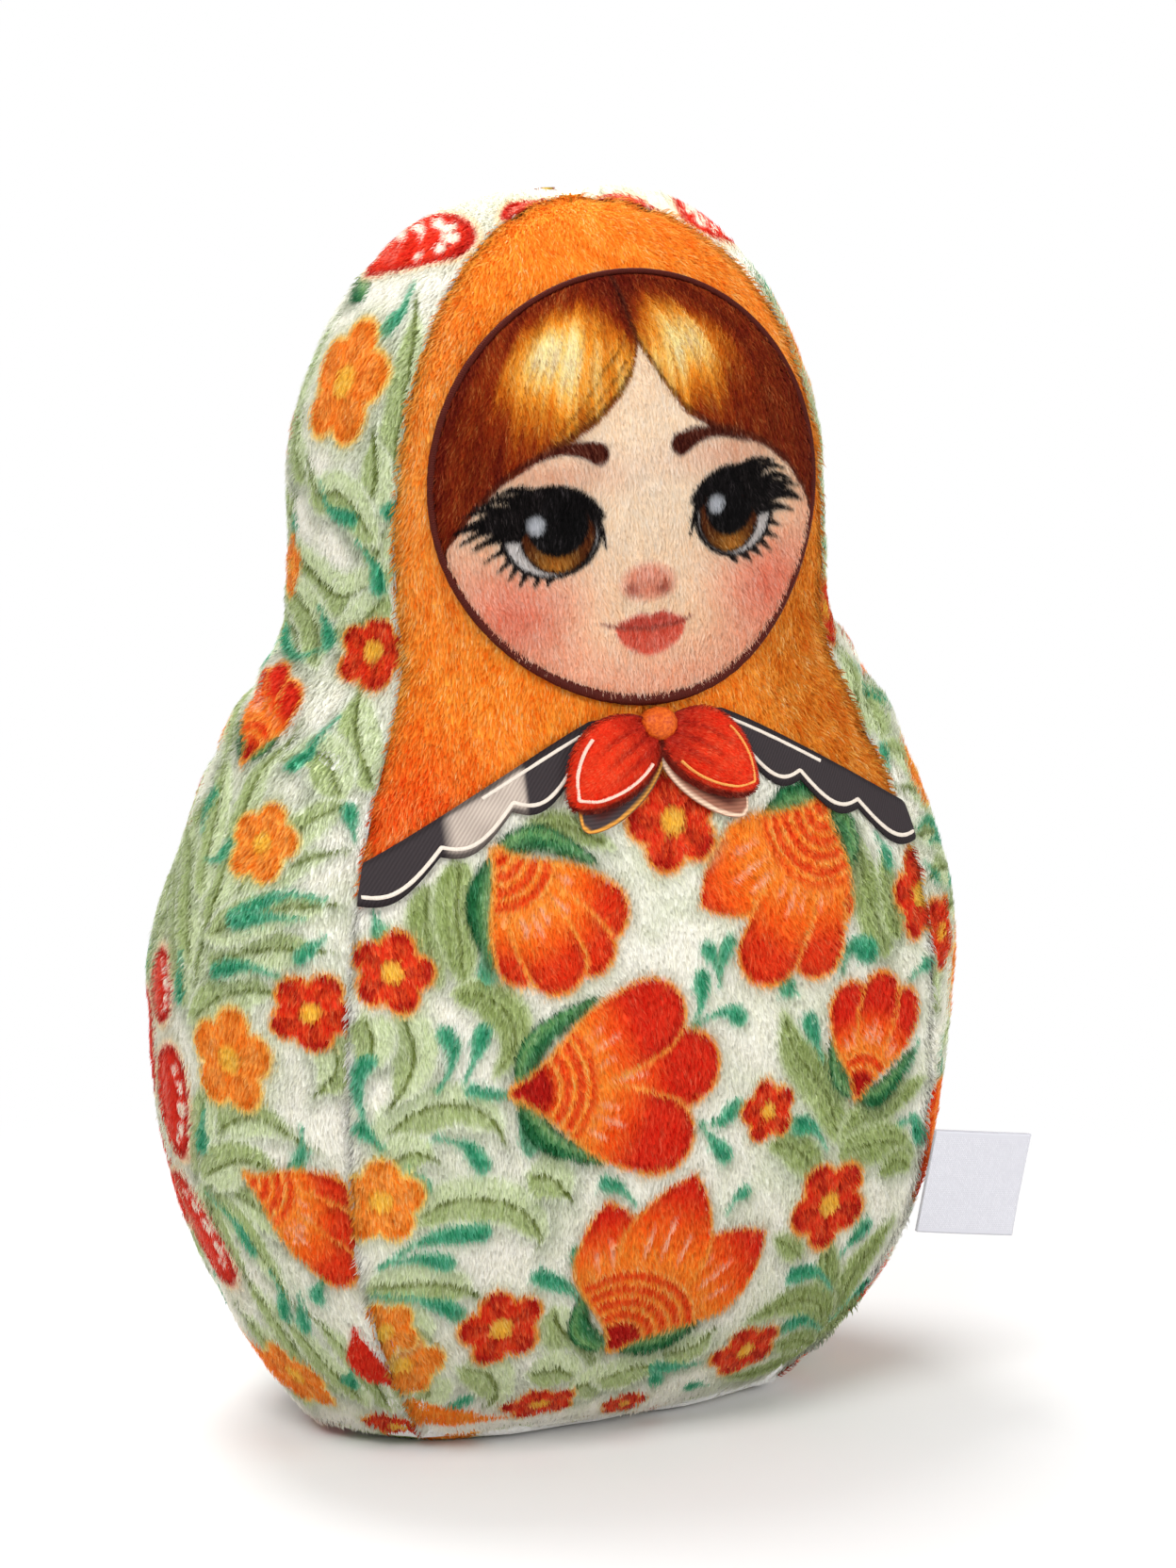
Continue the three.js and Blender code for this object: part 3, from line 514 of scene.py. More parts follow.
    def bell(self, tip, lobes, sepals, cap=0.0):
        """A bell flower: petals (u, v, radius, taper) open from one scaled tip, with a dark cap of some mm.
        Bells with a cap are riper: their petals turn red sooner."""
        for path in sepals:
            self.sepal(path)
        ends = np.array([tip] + [lobe[:2] for lobe in lobes], float)
        reach = max(lobe[2] for lobe in lobes) + 7
        at = self.within(ends.min(0) - reach, ends.max(0) + reach)
        part = Print(self.places[at])
        inside = np.full(len(at), -FAR)
        strokes = []
        for u, v, radius, taper in lobes:
            mid = ((tip[0] + u) / 2, (tip[1] + v) / 2)
            near, depth, along, side = part.from_stroke([tip, mid, (u, v)], radius * 2, taper, 7)
            inside[near] = np.maximum(inside[near], depth)
            strokes.append((at[near], depth, along, side, radius))
        self.lay(at, 0.5 * fade(inside + 1.5, 5.5), "#8f8f68")
        share, start = (1.0, 0.7) if cap else (0.85, 0.8)
        for near, depth, along, side, radius in strokes:
            body = fade(depth, 0.5)
            self.lay(near, fade(depth + 1.0, 0.9), "gold")
            self.lay(near, body, "orange")
            self.lay(near, share * body * smoothstep(along, start - 0.25, start + 0.1), "ember")
            self.lay(near, share * body * smoothstep(along, start, start + 0.24), "red")
            self.lay(near, 0.45 * body * fade(1.4 - depth, 1.4) * smoothstep(along, 0.7, 0.95), "deep")
            for off in (-0.42, 0.02, 0.4):
                mark = fade(0.5 - np.abs(side - off * radius * (0.4 + along)), 0.5)
                mark = mark * fade(along - 0.52, 0.06) * fade(0.76 - abs(off) * 0.2 - along, 0.06)
                self.lay(near, 0.85 * mark, "#f9cfae")
        far = np.linalg.norm(self.places[at] - tip, axis=1)
        length = max(math.dist(tip, lobe[:2]) for lobe in lobes)
        cup = fade(inside - 0.2, 0.6) * fade(0.52 - far / length, 0.14)
        self.lay(at, cup, "#f79f38")
        scale = (far / 3.3) % 1
        dark, bright = fade(0.3 - np.abs(scale - 0.5), 0.2), fade(0.1 - np.abs(scale - 0.98), 0.1)
        self.lay(at, cup * dark * fade(0.46 - far / length, 0.06), "#e8561c")
        self.lay(at, 0.9 * cup * bright * fade(0.48 - far / length, 0.06), "#f7c96a")
        if cap:
            self.lay(at, fade(inside, 0.5) * fade(cap - far, 1.0), "#c01c12")

    def paisley(self, u, v, half_u, half_v, turn=0.0, dots_at=-1):
        """A big red petal with a cream edge, dark rim and white dots along one side."""
        spare = 1.6 * max(half_u, half_v)
        at = self.within((u - spare, v - spare), (u + spare, v + spare))
        across, up = (self.places[at] - (u, v)).T
        tilt = math.radians(turn)
        y = up * math.cos(tilt) - across * math.sin(tilt)
        x = across * math.cos(tilt) + up * math.sin(tilt) + 0.12 * y ** 2 / half_v
        rho = np.hypot(x / half_u, y / half_v)
        size = min(half_u, half_v)
        inside = (1 - rho) * size
        self.lay(at, 0.5 * fade(inside + 2, 5), "#b9b99a")
        self.lay(at, fade(inside + 1.0, 0.7), "cream")
        self.lay(at, fade(inside, 0.6), "#c8281c")
        self.lay(at, fade(inside - 1.4, 1.2), "red")
        for dot in range(5):
            spin = math.pi * ((0.62 if dots_at < 0 else -0.38) + 0.19 * dot)
            du, dv = 0.66 * half_u * math.cos(spin), 0.66 * half_v * math.sin(spin)
            dot_size = 0.13 + 0.04 * (2 - abs(dot - 2))
            self.lay(at, fade(size * dot_size - np.hypot(x - du, y - dv), 0.5), "#fbf3e4")
        for place in (-0.35, 0.05, 0.45):
            streak = fade(0.5 - np.abs(x - half_u * (0.3 + 0.3 * place) - 0.03 * y ** 2 / half_v), 0.6)
            streak = streak * fade(0.6 - np.abs(y / half_v - place * 0.4), 0.2)
            self.lay(at, 0.55 * streak * fade(inside - 1.5, 1), "#f5a08a")


# Where each motif of the front print lies, in mm across and mm up
FRONT_FRONDS = [
    [(-69.5, 80), (-66.5, 87), (-58, 91.5), (-50, 91), (-44, 86.5), (-41.5, 80.5)],
    [(-68.5, 77), (-65, 80), (-61, 80.8), (-56, 78)],
    [(-62, 65), (-55, 69), (-48, 69.5), (-40.5, 67.5), (-35.5, 63.5), (-32.5, 58.5), (-33.7, 55)],
    [(-71, 48), (-61, 49.5), (-52, 48.2), (-45, 44.5)], [(-68, 40), (-62, 38.7), (-58, 36.2), (-55, 33)],
    [(-65, 113), (-63, 107.8), (-62.5, 102), (-64.6, 96.2), (-69, 90)],
    [(-47, 25), (-41.2, 23.7), (-38, 20.3), (-36.2, 15.3), (-38.5, 11.5)],
    [(-55, 21.5), (-52.5, 17.8), (-54.6, 13.7), (-58.5, 12.3)],
    [(-27.5, 39.5), (-25.4, 34.5), (-19.6, 28.7), (-15.4, 24.5), (-13.5, 20.5)],
    [(-30, 22), (-24.6, 22.8), (-20.4, 21.2), (-18, 17.8)],
    [(-19, 15.5), (-13, 17), (-8, 17), (-5.2, 15.3), (-6.4, 12.5)],
    [(-9, 22), (3.8, 22.4), (11.2, 24), (16, 29)], [(-12, 17.5), (-2, 19.5), (6, 18.5)],
    [(-73, 112), (-71.5, 106), (-74, 98)], [(-36, 74), (-30, 72), (-25, 66)],
]
FRONT_OLIVE = [
    ([(-56.5, 141), (-58, 130), (-56, 118)], 6.5), ([(-49, 146), (-51, 133), (-50.5, 118)], 8),
    ([(-53.8, 117), (-47, 116.2), (-42, 112.8), (-39.6, 107.8), (-40.4, 102.8), (-45, 97)], 7),
    ([(45, 70), (41, 81), (36, 88.5), (30.4, 95), (27.5, 105)], 8),
    ([(40, 62.5), (34.6, 68.7), (29.6, 72.3), (24, 72.5)], 6.5),
    ([(45, 68.5), (51.2, 74.5), (60.4, 77.8), (75, 79.8)], 7.5),
    ([(44.6, 67), (52, 68), (62, 67), (72, 60.5)], 7.5),
    ([(58.8, 112), (57, 120.3), (53.8, 128.7), (52.5, 141)], 8), ([(63, 115), (62, 124), (60, 136)], 6),
    ([(52.5, 13), (49.6, 24.5), (46.2, 37.8), (45, 46)], 7),
    ([(53, 14), (53.5, 24.5), (55.8, 34.5), (61.2, 42), (66.5, 47)], 6.5),
    ([(52.5, 15.5), (48, 26.2), (40.4, 30.5), (33, 31), (22.5, 28)], 7),
    ([(53, 13), (46.2, 16.2), (40.4, 17.3), (34, 17.5)], 5.5),
    ([(52.5, 11), (44.6, 9.5), (34.6, 9), (23, 11)], 5), ([(53, 14), (58, 20.5), (63.7, 23), (68, 23)], 5.5),
    ([(37, 43), (32, 47), (27, 50.5)], 4.5), ([(58, 60), (64, 62), (71, 58)], 5),
    ([(-34, 152), (-24, 151.5), (-13, 146)], 5),
]
FRONT_DROPS = [
    ([(-57.5, 95), (-54.6, 99.5), (-53.8, 104.5), (-55.4, 108)], 4),
    ([(-51, 97), (-48.5, 103), (-47, 108)], 4.2),
    ([(-70, 82), (-73.3, 87.8), (-75, 94.5), (-74.2, 100.3), (-72.5, 102)], 4),
    ([(-69, 82), (-74.5, 86.5)], 3.5), ([(-69.5, 135), (-68, 130)], 4.5), ([(-64, 77.5), (-60.5, 73)], 4.6),
    ([(-58, 84.5), (-51, 82.5), (-47, 77.5)], 4), ([(-40, 92), (-37.5, 86), (-35.6, 80.5)], 4.4),
    ([(-10, 64), (-13.5, 68), (-17.5, 70)], 3.6), ([(-21, 40), (-24, 44), (-32, 48.6)], 4.2),
    ([(-21, 41), (-22, 48), (-23, 53.5)], 4.2), ([(-50, 11), (-46, 13), (-43, 15)], 3.4),
    ([(-69, 53.5), (-62, 59), (-55, 61), (-46.5, 61.3)], 4.6), ([(-69, 54), (-61, 56), (-54, 54.3)], 4),
    ([(-70, 46), (-61.5, 45.6), (-54.6, 43.5), (-50.5, 41)], 4.4),
    ([(-43.5, 141), (-42.5, 133), (-43.7, 127), (-45, 121)], 4.6),
    ([(-34, 94), (-40, 93), (-50, 94.8)], 2.6), ([(3.5, 104), (5.8, 109.5), (6, 115)], 4.2),
    ([(3.5, 104), (9.6, 106.4), (13.7, 106.2), (15.8, 104.8)], 4.4),
    ([(10.8, 112.5), (11.4, 117.8), (13.6, 122)], 3.8), ([(10.5, 115), (9.2, 119), (7.8, 121.6)], 3.8),
    ([(31.5, 107.5), (29, 109.8)], 4.6), ([(38.8, 91), (36.8, 96.2), (34.8, 101.2)], 4.2),
    ([(5, 81.6), (10.4, 81.2), (15, 84)], 4.2), ([(5, 81.6), (8.7, 77), (12.2, 73)], 4.2),
    ([(41, 69.5), (37, 75), (31.8, 77)], 4.6), ([(13.5, 58.5), (16.2, 62), (18.4, 63)], 3.2),
    ([(44.5, 111), (48, 116), (53.5, 114.5)], 6), ([(66, 105), (71.2, 107.4), (75, 107)], 3.4),
    ([(70, 90), (67.5, 86.5), (64, 85)], 4.6), ([(64, 71), (70, 71), (73, 66)], 5),
    ([(49.5, 31), (45.4, 35.7), (40.4, 38.2), (35, 38.6)], 4.6),
    ([(52.5, 18), (48.7, 20.3), (42.9, 23.3), (38, 23.2)], 4.4), ([(49.5, 40), (53, 43.7), (56, 46.8)], 4.4),
    ([(54, 20.5), (59.6, 26.2), (63.5, 27.6)], 4.4), ([(17.5, 18.8), (9.6, 17.8), (2.5, 18.4)], 3.4),
    ([(1.5, 18.5), (4.4, 14)], 3.6), ([(21, 8.5), (15.5, 9.8)], 3.4), ([(59, 140), (63, 133)], 3.6),
]
FRONT_BELLS = [
    ((-40.5, 146.5),
     [(-37, 123.5, 5.6, "petal"), (-18.5, 132.5, 6.8, "petal"), (-21, 124.5, 5.6, "petal"),
      (-29, 122, 6.6, "petal")],
     [[(-42, 146), (-31, 149.5), (-17, 143)], [(-41.5, 146), (-46, 135), (-44, 121)]], 0),
    ((43, 149),
     [(43, 127, 6, "petal"), (7, 131.5, 11, "pointed"), (38, 118.5, 7.4, "petal"), (24.5, 119, 7.8, "petal")],
     [[(44, 149), (34, 152.5), (19, 144)], [(44, 149), (50, 141), (47.5, 129)]], 0),
    ((-39, 93.5), [(1.5, 95, 8.4, "petal"), (-7.5, 107.5, 8.6, "petal"), (-5.5, 80, 8.6, "petal")],
     [[(-39, 94), (-34, 105), (-19, 114)], [(-39, 92.5), (-32, 82), (-18, 74.5)]], 8),
    ((49.5, 81.5), [(64, 98, 5.6, "petal"), (47, 102, 5.8, "petal"), (56.5, 103, 5.6, "petal")],
     [[(49.5, 81), (44, 87), (41, 97)], [(49.5, 80.5), (58, 80.5), (68, 89)]], 5),
    ((-10.5, 28), [(-16.5, 65, 9.5, "pointed"), (24, 52, 11, "pointed"), (4.5, 69, 11.5, "pointed")],
     [[(-11, 27), (-20, 33), (-20.5, 44)], [(-10, 26.5), (2, 27), (14, 35.5)]], 6),
]
FRONT_FLOWERS = [
    (1.6, 150.6, 10.8, 14, "red", 1), (-66.2, 121.9, 8.7, -17, "red", 1), (23.8, 81.5, 7, 10, "red", 1),
    (43.5, 55, 10.6, 30, "red", 1), (-39.4, 36, 9.4, 18, "red", 1), (26.9, 19.1, 9.4, 20, "red", 0.75),
    (-24.4, 11.9, 8.6, 20, "red", 0.55), (73.8, 123.7, 10, 5, "red", 1), (-1.2, 7.5, 5.5, 0, "red", 0.6),
    (-69.5, 69.4, 9.4, 0, "orange", 1), (-60.6, 26.2, 9, 0, "orange", 1), (-66, 36, 7, 40, "orange", 1.2),
]


def scarf_edge(u):
    """Height of the scarf's lower edge at a distance from the middle."""
    return np.interp(np.abs(u), (0, 8, 25, 38, 51.5, 67, 80), (175, 173.5, 169.3, 162.5, 153.5, 142.5, 135))


def floral_ground(ink, seed):
    cloud = lumps(ink.places, 13.0, seed) + 0.6 * lumps(ink.places, 6.0, seed + 1)
    ink.lay(EVERY, 0.5 * fade(cloud - 0.45, 1.2), "smudge")


def lay_motifs(ink, frond_width):
    """All the motifs of the front print, each kind over the one before."""
    for path in FRONT_FRONDS:
        ink.frond(path, frond_width)
    for path, width in FRONT_OLIVE:
        ink.leaf(path, width)
    for path, width in FRONT_DROPS:
        ink.drop(path, width)
    for bell in FRONT_BELLS:
        ink.bell(*bell)
    for flower in FRONT_FLOWERS:
        ink.flower(*flower)


def print_scarf(ink):
    u, v = ink.places.T
    at = np.flatnonzero(v > scarf_edge(u) - 3)
    u, v = u[at], v[at]
    mottle = lumps(ink.places[at], 9.0, 5) * 0.5 + lumps(ink.places[at] * (1, 0.5), 1.6, 6) * 0.5
    ink.lay(at, np.ones(len(at)), "#f8a432")
    ink.lay(at, 0.9 * fade(-u - 40, 25) * fade(168 - v, 22), "#f2611c")
    # Painted shade: the scarf turns darker ochre towards its right side, the side away from the key light.
    ink.lay(at, 0.85 * fade(u - 26, 25) * fade(222 - v, 40), "#d98a20")
    ink.lay(at, 0.55 * fade(-u - 38, 10) * fade(v - 190, 30), "#f3a94c")
    ink.lay(at, 0.3 * fade(mottle - 0.15, 0.6), "#e8781c")
    ink.lay(at, 0.35 * fade(-mottle - 0.15, 0.6), "#fbb450")


def front_print(places):
    ink = Print(places)
    floral_ground(ink, 71)
    lay_motifs(ink, 12.0)
    for path in ([(-62, 12), (-48, 8.5), (-30, 8)], [(-58, 15), (-48, 11), (-38, 10)]):
        ink.stroke(path, 4, "orange")
    print_scarf(ink)
    return ink.rgb


GUSSET_FRONDS = [
    [(-24, -119), (-28.5, -102), (-27, -80), (-22, -62), (-15, -50)], [(-20, -112), (-24, -98), (-21, -84)],
    [(8, -102), (13, -90), (14, -74), (9, -57)], [(2, -101), (9, -94), (9, -84)],
    [(-25, -111), (-15, -102), (-5, -103), (1, -94)],
    [(-30, -117), (-17, -125), (-4, -121), (10, -117), (16, -109)],
    [(-12, -140), (-5, -130), (9, -127), (16, -133)], [(-28, -124), (-20, -132), (-12, -133)],
    [(-41, -161), (-31, -151), (-24, -140)], [(-35, -166), (-25, -158), (-13, -165)],
    [(-12, -221), (-17, -202), (-29, -186), (-43, -176)],
    [(-12, -216), (-20, -192), (-32, -172), (-40, -166)], [(-11, -218), (-9.5, -195), (-3, -182), (9, -179)],
    [(-12, -222), (-13, -196), (-12, -172), (-17, -152)], [(-9.5, -223), (1, -205), (17, -194)],
    [(-9, -214), (2, -193), (16, -184)], [(-12, -226), (-25, -217), (-39, -214)],
    [(-16, -212), (-32, -205), (-48, -202)], [(-14, -206), (-30, -196), (-46, -190)],
    [(-7, -198), (0, -176), (8, -165)], [(-10, -266), (-19, -252), (-32, -246), (-48, -253)],
    [(-9, -266), (-14, -250), (-19, -238)], [(-10, -265), (-24, -267), (-37, -275), (-40, -289)],
    [(-10, -266), (-21, -277), (-28, -297)], [(-9, -267), (-9.5, -281), (-15, -294)],
    [(-11, -264), (-26, -257), (-40, -260)], [(-23, -323), (-17, -301), (-11, -289)],
    [(-33, -327), (-38, -310), (-30, -294)], [(-28, -325), (-26, -308), (-20, -298)],
    [(-40, -331), (-44, -318), (-42, -306)], [(-6, -331), (-9, -312), (-1, -300)],
    [(-50, -222), (-52, -232), (-46, -240)], [(24, -230), (16, -222), (14, -210)],
    [(30, -262), (22, -256), (16, -246)], [(28, -300), (20, -306), (14, -316)],
    [(20, -150), (12, -160), (6, -172)], [(34, -200), (26, -206), (20, -216)],
    [(40, -250), (34, -262), (36, -276)], [(16, -286), (24, -292), (34, -290)],
    [(40, -306), (34, -316), (24, -326)], [(30, -136), (22, -142), (18, -150)],
    [(44, -222), (38, -232), (40, -244)],
]
GUSSET_DROPS = [
    [(-13, -49), (-15, -56), (-14, -62)], [(-6, -100), (-11, -106), (-18, -107)],
    [(-20, -112), (-25, -117), (-26, -122)], [(-25, -149), (-22, -156), (-20, -163)],
    [(-41, -190), (-31, -192), (-20, -200)], [(-38, -196), (-29, -198), (-21, -201)],
    [(-37, -211), (-28, -210), (-19, -213)], [(-4, -190), (-9, -189), (-12, -184)],
    [(3, -185), (5, -181), (4, -176)], [(-4, -212), (-6, -222)], [(-43, -246), (-43, -252), (-40, -258)],
    [(-16, -246), (-13, -256)], [(-24, -286), (-25, -292), (-22, -299)], [(-31, -291), (-27, -301)],
    [(-10, -268), (-18, -274), (-20, -281)], [(-12, -137), (-4, -140), (6, -136)],
    [(-40, -285), (-36, -291)], [(-42, -174), (-38, -168)], [(-33, -100), (-28, -104)],
    [(-9, -128), (-13, -135)], [(9, -296), (13, -305)], [(18, -214), (22, -222)], [(-45, -198), (-40, -205)],
    [(8, -146), (14, -140)], [(-34, -312), (-29, -318)], [(4, -118), (9, -112)],
]
GUSSET_FLOWERS = [
    (-7.5, -76.7, 12.6, 0, "orange", 1.15), (-25.7, -136, 8.6, 10, "red", 0.72),
    (-20.7, -182, 9, 0, "orange", 1), (-45, -218, 9.6, 20, "red", 1), (-25, -233, 10.8, 5, "orange", 1.1),
    (-10.7, -320, 9.5, 0, "orange", 1), (-28, -335, 7, 0, "red", 0.8), (9, -122, 7, 0, "orange", 1),
    (30, -180, 9, 0, "red", 1), (26, -160, 7.5, 30, "orange", 1), (28, -320, 9, 12, "red", 1),
    (27, -92, 8, 0, "red", 0.9), (40, -206, 8.5, 0, "orange", 1), (37, -254, 7.5, 20, "red", 1),
    (41, -292, 8.5, 0, "orange", 1),
]
GUSSET_PETALS = [
    (5, -222, 6.5, 9, -20, -1), (0, -248, 9.5, 14, 8, -1), (3, -282, 11, 15, -22, -1),
    (-1, -40, 17, 9.5, -30, -1), (-10.7, -14, 4, 8, -20, -1), (19, -238, 9, 13, 10, 1),
    (21, -272, 10, 14, -14, 1),
]


def gusset_print(places):
    half = places.copy()
    half[:, 1] = -np.abs(half[:, 1])
    ink = Print(half)
    floral_ground(ink, 83)
    for path in GUSSET_FRONDS:
        if path[0][0] < -6:
            ink.frond([(8 - 0.9 * u, v - 8) for u, v in path], 11.0)
    for path in GUSSET_DROPS:
        if path[0][0] < -12:
            ink.drop([(10 - 0.9 * u, v - 12) for u, v in path], 4.0)
    for path in GUSSET_FRONDS:
        ink.frond(path, 12.0)
    for path in GUSSET_DROPS:
        ink.drop(path, 4.0)
    ink.sepal([(0, -58), (8, -54), (17, -50)], 7)
    ink.bell((-4, -166), [(-9, -150, 4.5, "petal"), (-2, -147, 4.5, "petal"), (5, -145, 4, "pointed")],
             [[(-4, -166), (-9, -160), (-9, -152)], [(-3, -166), (2, -160), (3, -153)]], 4)
    ink.bell((-27, -261), [(-46, -264, 6, "petal"), (-47, -272, 6, "petal"), (-44, -281, 5.5, "petal")],
             [], 0)
    for petal in GUSSET_PETALS:
        ink.paisley(*petal)
    for step in (-9, -3, 3):
        foot = (-1 + 0.87 * step - 0.5, -40 - 0.5 * step - 0.9)
        head = (2 + 0.87 * step + 3, -40 - 0.5 * step + 2.4)
        middle = ((foot[0] + head[0]) / 2 - 1, (foot[1] + head[1]) / 2 + 1)
        ink.stroke([foot, middle, head], 2.6, "#fbf3e4", "drop")
    for flower in GUSSET_FLOWERS:
        ink.flower(*flower)
    ink.stroke([(-42, -299), (-39, -312)], 9, "red", "petal")
    for path in ([(-8, -326), (4, -322), (14, -325)], [(-4, -318), (8, -314), (18, -318)]):
        ink.stroke(path, 7, "orange")
    return ink.rgb


def back_print(places):
    """The unseen side repeats the front's motifs all the way up, round one big rosette."""
    flipped = places * (-1, 1)
    ink = Print(flipped)
    floral_ground(ink, 97)
    high = Print(np.stack([flipped[:, 0], 292 - flipped[:, 1]], -1))
    for sheet in (ink, high):
        lay_motifs(sheet, 9.0)
    middle, reach = 152, 22
    above = fade(flipped[:, 1] - middle, 1.0)[:, None]
    ink.rgb += above * (high.rgb - ink.rgb)
    for petal in range(6):
        spin = math.radians(60 * petal + 30)
        ink.paisley(reach * math.cos(spin), middle + reach * math.sin(spin), 12, 15, 60 * petal - 60, 1)
    ink.flower(0, middle, 12, 0, "orange", 1)
    return ink.rgb


BASE_LEAVES, BASE_FLOWERS = 22, 7


def base_print(places):
    ink = Print(places)
    floral_ground(ink, 61)
    for leaf in range(BASE_LEAVES):
        spin = 2 * math.pi * leaf / BASE_LEAVES
        foot = (52 * math.cos(spin), 30 * math.sin(spin))
        middle = (64 * math.cos(spin - 0.05), 40 * math.sin(spin - 0.05))
        top = (74 * math.cos(spin + 0.2), 46 * math.sin(spin + 0.2))
        ink.leaf([foot, middle, top], 7, "gold" if leaf % 5 == 1 else "olive")
    for flower in range(BASE_FLOWERS):
        spin = 2 * math.pi * (flower + 0.4) / BASE_FLOWERS
        kind = "red" if flower % 2 else "orange"
        ink.flower(60 * math.cos(spin), 38 * math.sin(spin), 9, 40 * flower, kind)
    return ink.rgb


# The printed and stitched face
HAIRLINE = np.array([
    (-54, 198), (-48, 206), (-45.6, 213), (-40, 220.5), (-33.5, 226.6), (-26.3, 231), (-18.5, 234.7),
    (-11.8, 238.9), (-5.8, 244.3), (-2.2, 249), (0, 255.2), (2.7, 250.3), (5.7, 245.5), (9.9, 240),
    (17, 235.5), (24.4, 233.4), (31.6, 230.4), (38.8, 225.6), (44.9, 218.4), (47.9, 213.5), (54, 203),
])
HAIR_SHADES = [
    (0.04, 0.26, "#ab400c"), (0.22, 0.42, "#dc841c"), (0.4, 0.62, "#f7b53c"), (0.6, 0.82, "#ffdc80"),
    (0.8, 1.05, "#fff1c0"),
]
LASHES_LEFT = [
    [(-26, 223.8), (-31, 225.2), (-35.4, 224.4)], [(-27, 222), (-34, 223.4), (-40.4, 221.4)],
    [(-29, 220.4), (-37, 221.2), (-43.6, 219.2)], [(-29, 218.4), (-38, 218.6), (-45, 215.8)],
    [(-30, 216.8), (-38, 216.2), (-44, 213)], [(-31, 215.4), (-36.5, 214.4), (-41, 212)],
]
LOWER_LEFT = [
    [(-32, 213.5), (-38.4, 209.2)], [(-31.5, 211), (-35.4, 207)], [(-30.5, 209), (-33, 205.2)],
    [(-28.5, 207.5), (-30.7, 203.6)], [(-26, 206.5), (-27.2, 203.4)], [(-23.5, 206), (-24.4, 203.8)],
]
LASHES_RIGHT = [
    [(23, 225.6), (29, 227.4), (34.6, 226.8)], [(25, 224), (32, 225.9), (38.2, 224.6)],
    [(26, 222), (34, 223.6), (40.4, 221.8)], [(27, 220.4), (36, 221.6), (42.8, 220)],
    [(28, 218.6), (37, 219), (44.2, 216.6)], [(29, 217), (35, 216.6), (41, 214.8)],
]
LOWER_RIGHT = [
    [(30.5, 214.5), (36.6, 211.8)], [(30, 212), (35.8, 209.2)], [(29, 210.2), (33.4, 206.8)],
    [(27, 208.6), (30.4, 205.8)], [(24.6, 207.4), (27, 205)], [(21.6, 206.8), (23, 205)],
]


def paint_hair(ink):
    """Two wings of hair from a middle parting, dark at the rims, with a gold shine on each wing."""
    u, v = ink.places.T
    line = np.interp(u, HAIRLINE[:, 0], HAIRLINE[:, 1])
    parting = np.interp(v, (255, 272), (0.0, -3.6))
    left = u < parting
    across, down = np.abs(u - parting) + 1.5, 276 - v
    reach, turn = np.hypot(across, down), np.degrees(np.arctan2(down, across))
    strand = turn - 0.55 * reach + 400 * left
    fine = 0.5 * lumps(np.stack([strand * 0.8, reach * 0.05], -1), 1.0, 31)
    fine = fine + 0.6 * lumps(np.stack([strand * 0.3, reach * 0.03], -1), 1.0, 32)
    gold_left = bell_curve(reach, 31, 17) * smoothstep(turn, 14, 42)
    gold_right = bell_curve(reach, 25, 14) * smoothstep(turn, 30, 52)
    shine_left = bell_curve(reach, 30, 10) * bell_curve(turn, 46, 14)
    shine_right = 0.8 * bell_curve(reach, 25, 8) * bell_curve(turn, 57, 12)
    rim = 48 * (1 - np.hypot(u / FACE_HALF_WIDTH, (v - FACE_CENTRE_Z) / FACE_RISE))
    gold = np.where(left, gold_left, gold_right) * smoothstep(rim, -1, 9)
    shine = np.where(left, shine_left, shine_right) * smoothstep(rim, 1, 10)
    tone = 0.12 + 0.52 * gold + 0.46 * shine + 0.2 * fine * (0.4 + gold)
    tone = tone - 0.3 * bell_curve(across, 0, 6) * fade(v - 256, 8)
    hair = fade(v - line, 0.6)
    ink.lay(EVERY, hair, "#7a1e07")
    for low, high, shade in HAIR_SHADES:
        ink.lay(EVERY, hair * smoothstep(tone, low, high), shade)
    lines = fade(0.07 - np.abs(fine + 0.12), 0.08) + fade(0.05 - np.abs(fine - 0.3), 0.06)
    ink.lay(EVERY, 0.42 * hair * np.clip(lines, 0, 1) * fade(reach - 9, 6), "#8e3a0c")
    ink.lay(EVERY, 0.85 * hair * fade(0.6 - np.abs(u - parting), 0.7) * fade(v - 255, 2), "#481a0d")
    ink.lay(EVERY, 0.8 * fade(0.9 - np.abs(v - line - 0.9), 0.8), "#5c2311")
    for drop, reach_to in ((4.2, -16), (8.5, -22)):
        lock = line + drop * np.clip((u + 27) / 18, 0, 1)
        ink.lay(EVERY, 0.6 * hair * fade(0.4 - np.abs(v - lock), 0.7) * (u < -1.5) * (u > reach_to - 6),
                "#6f2d12")


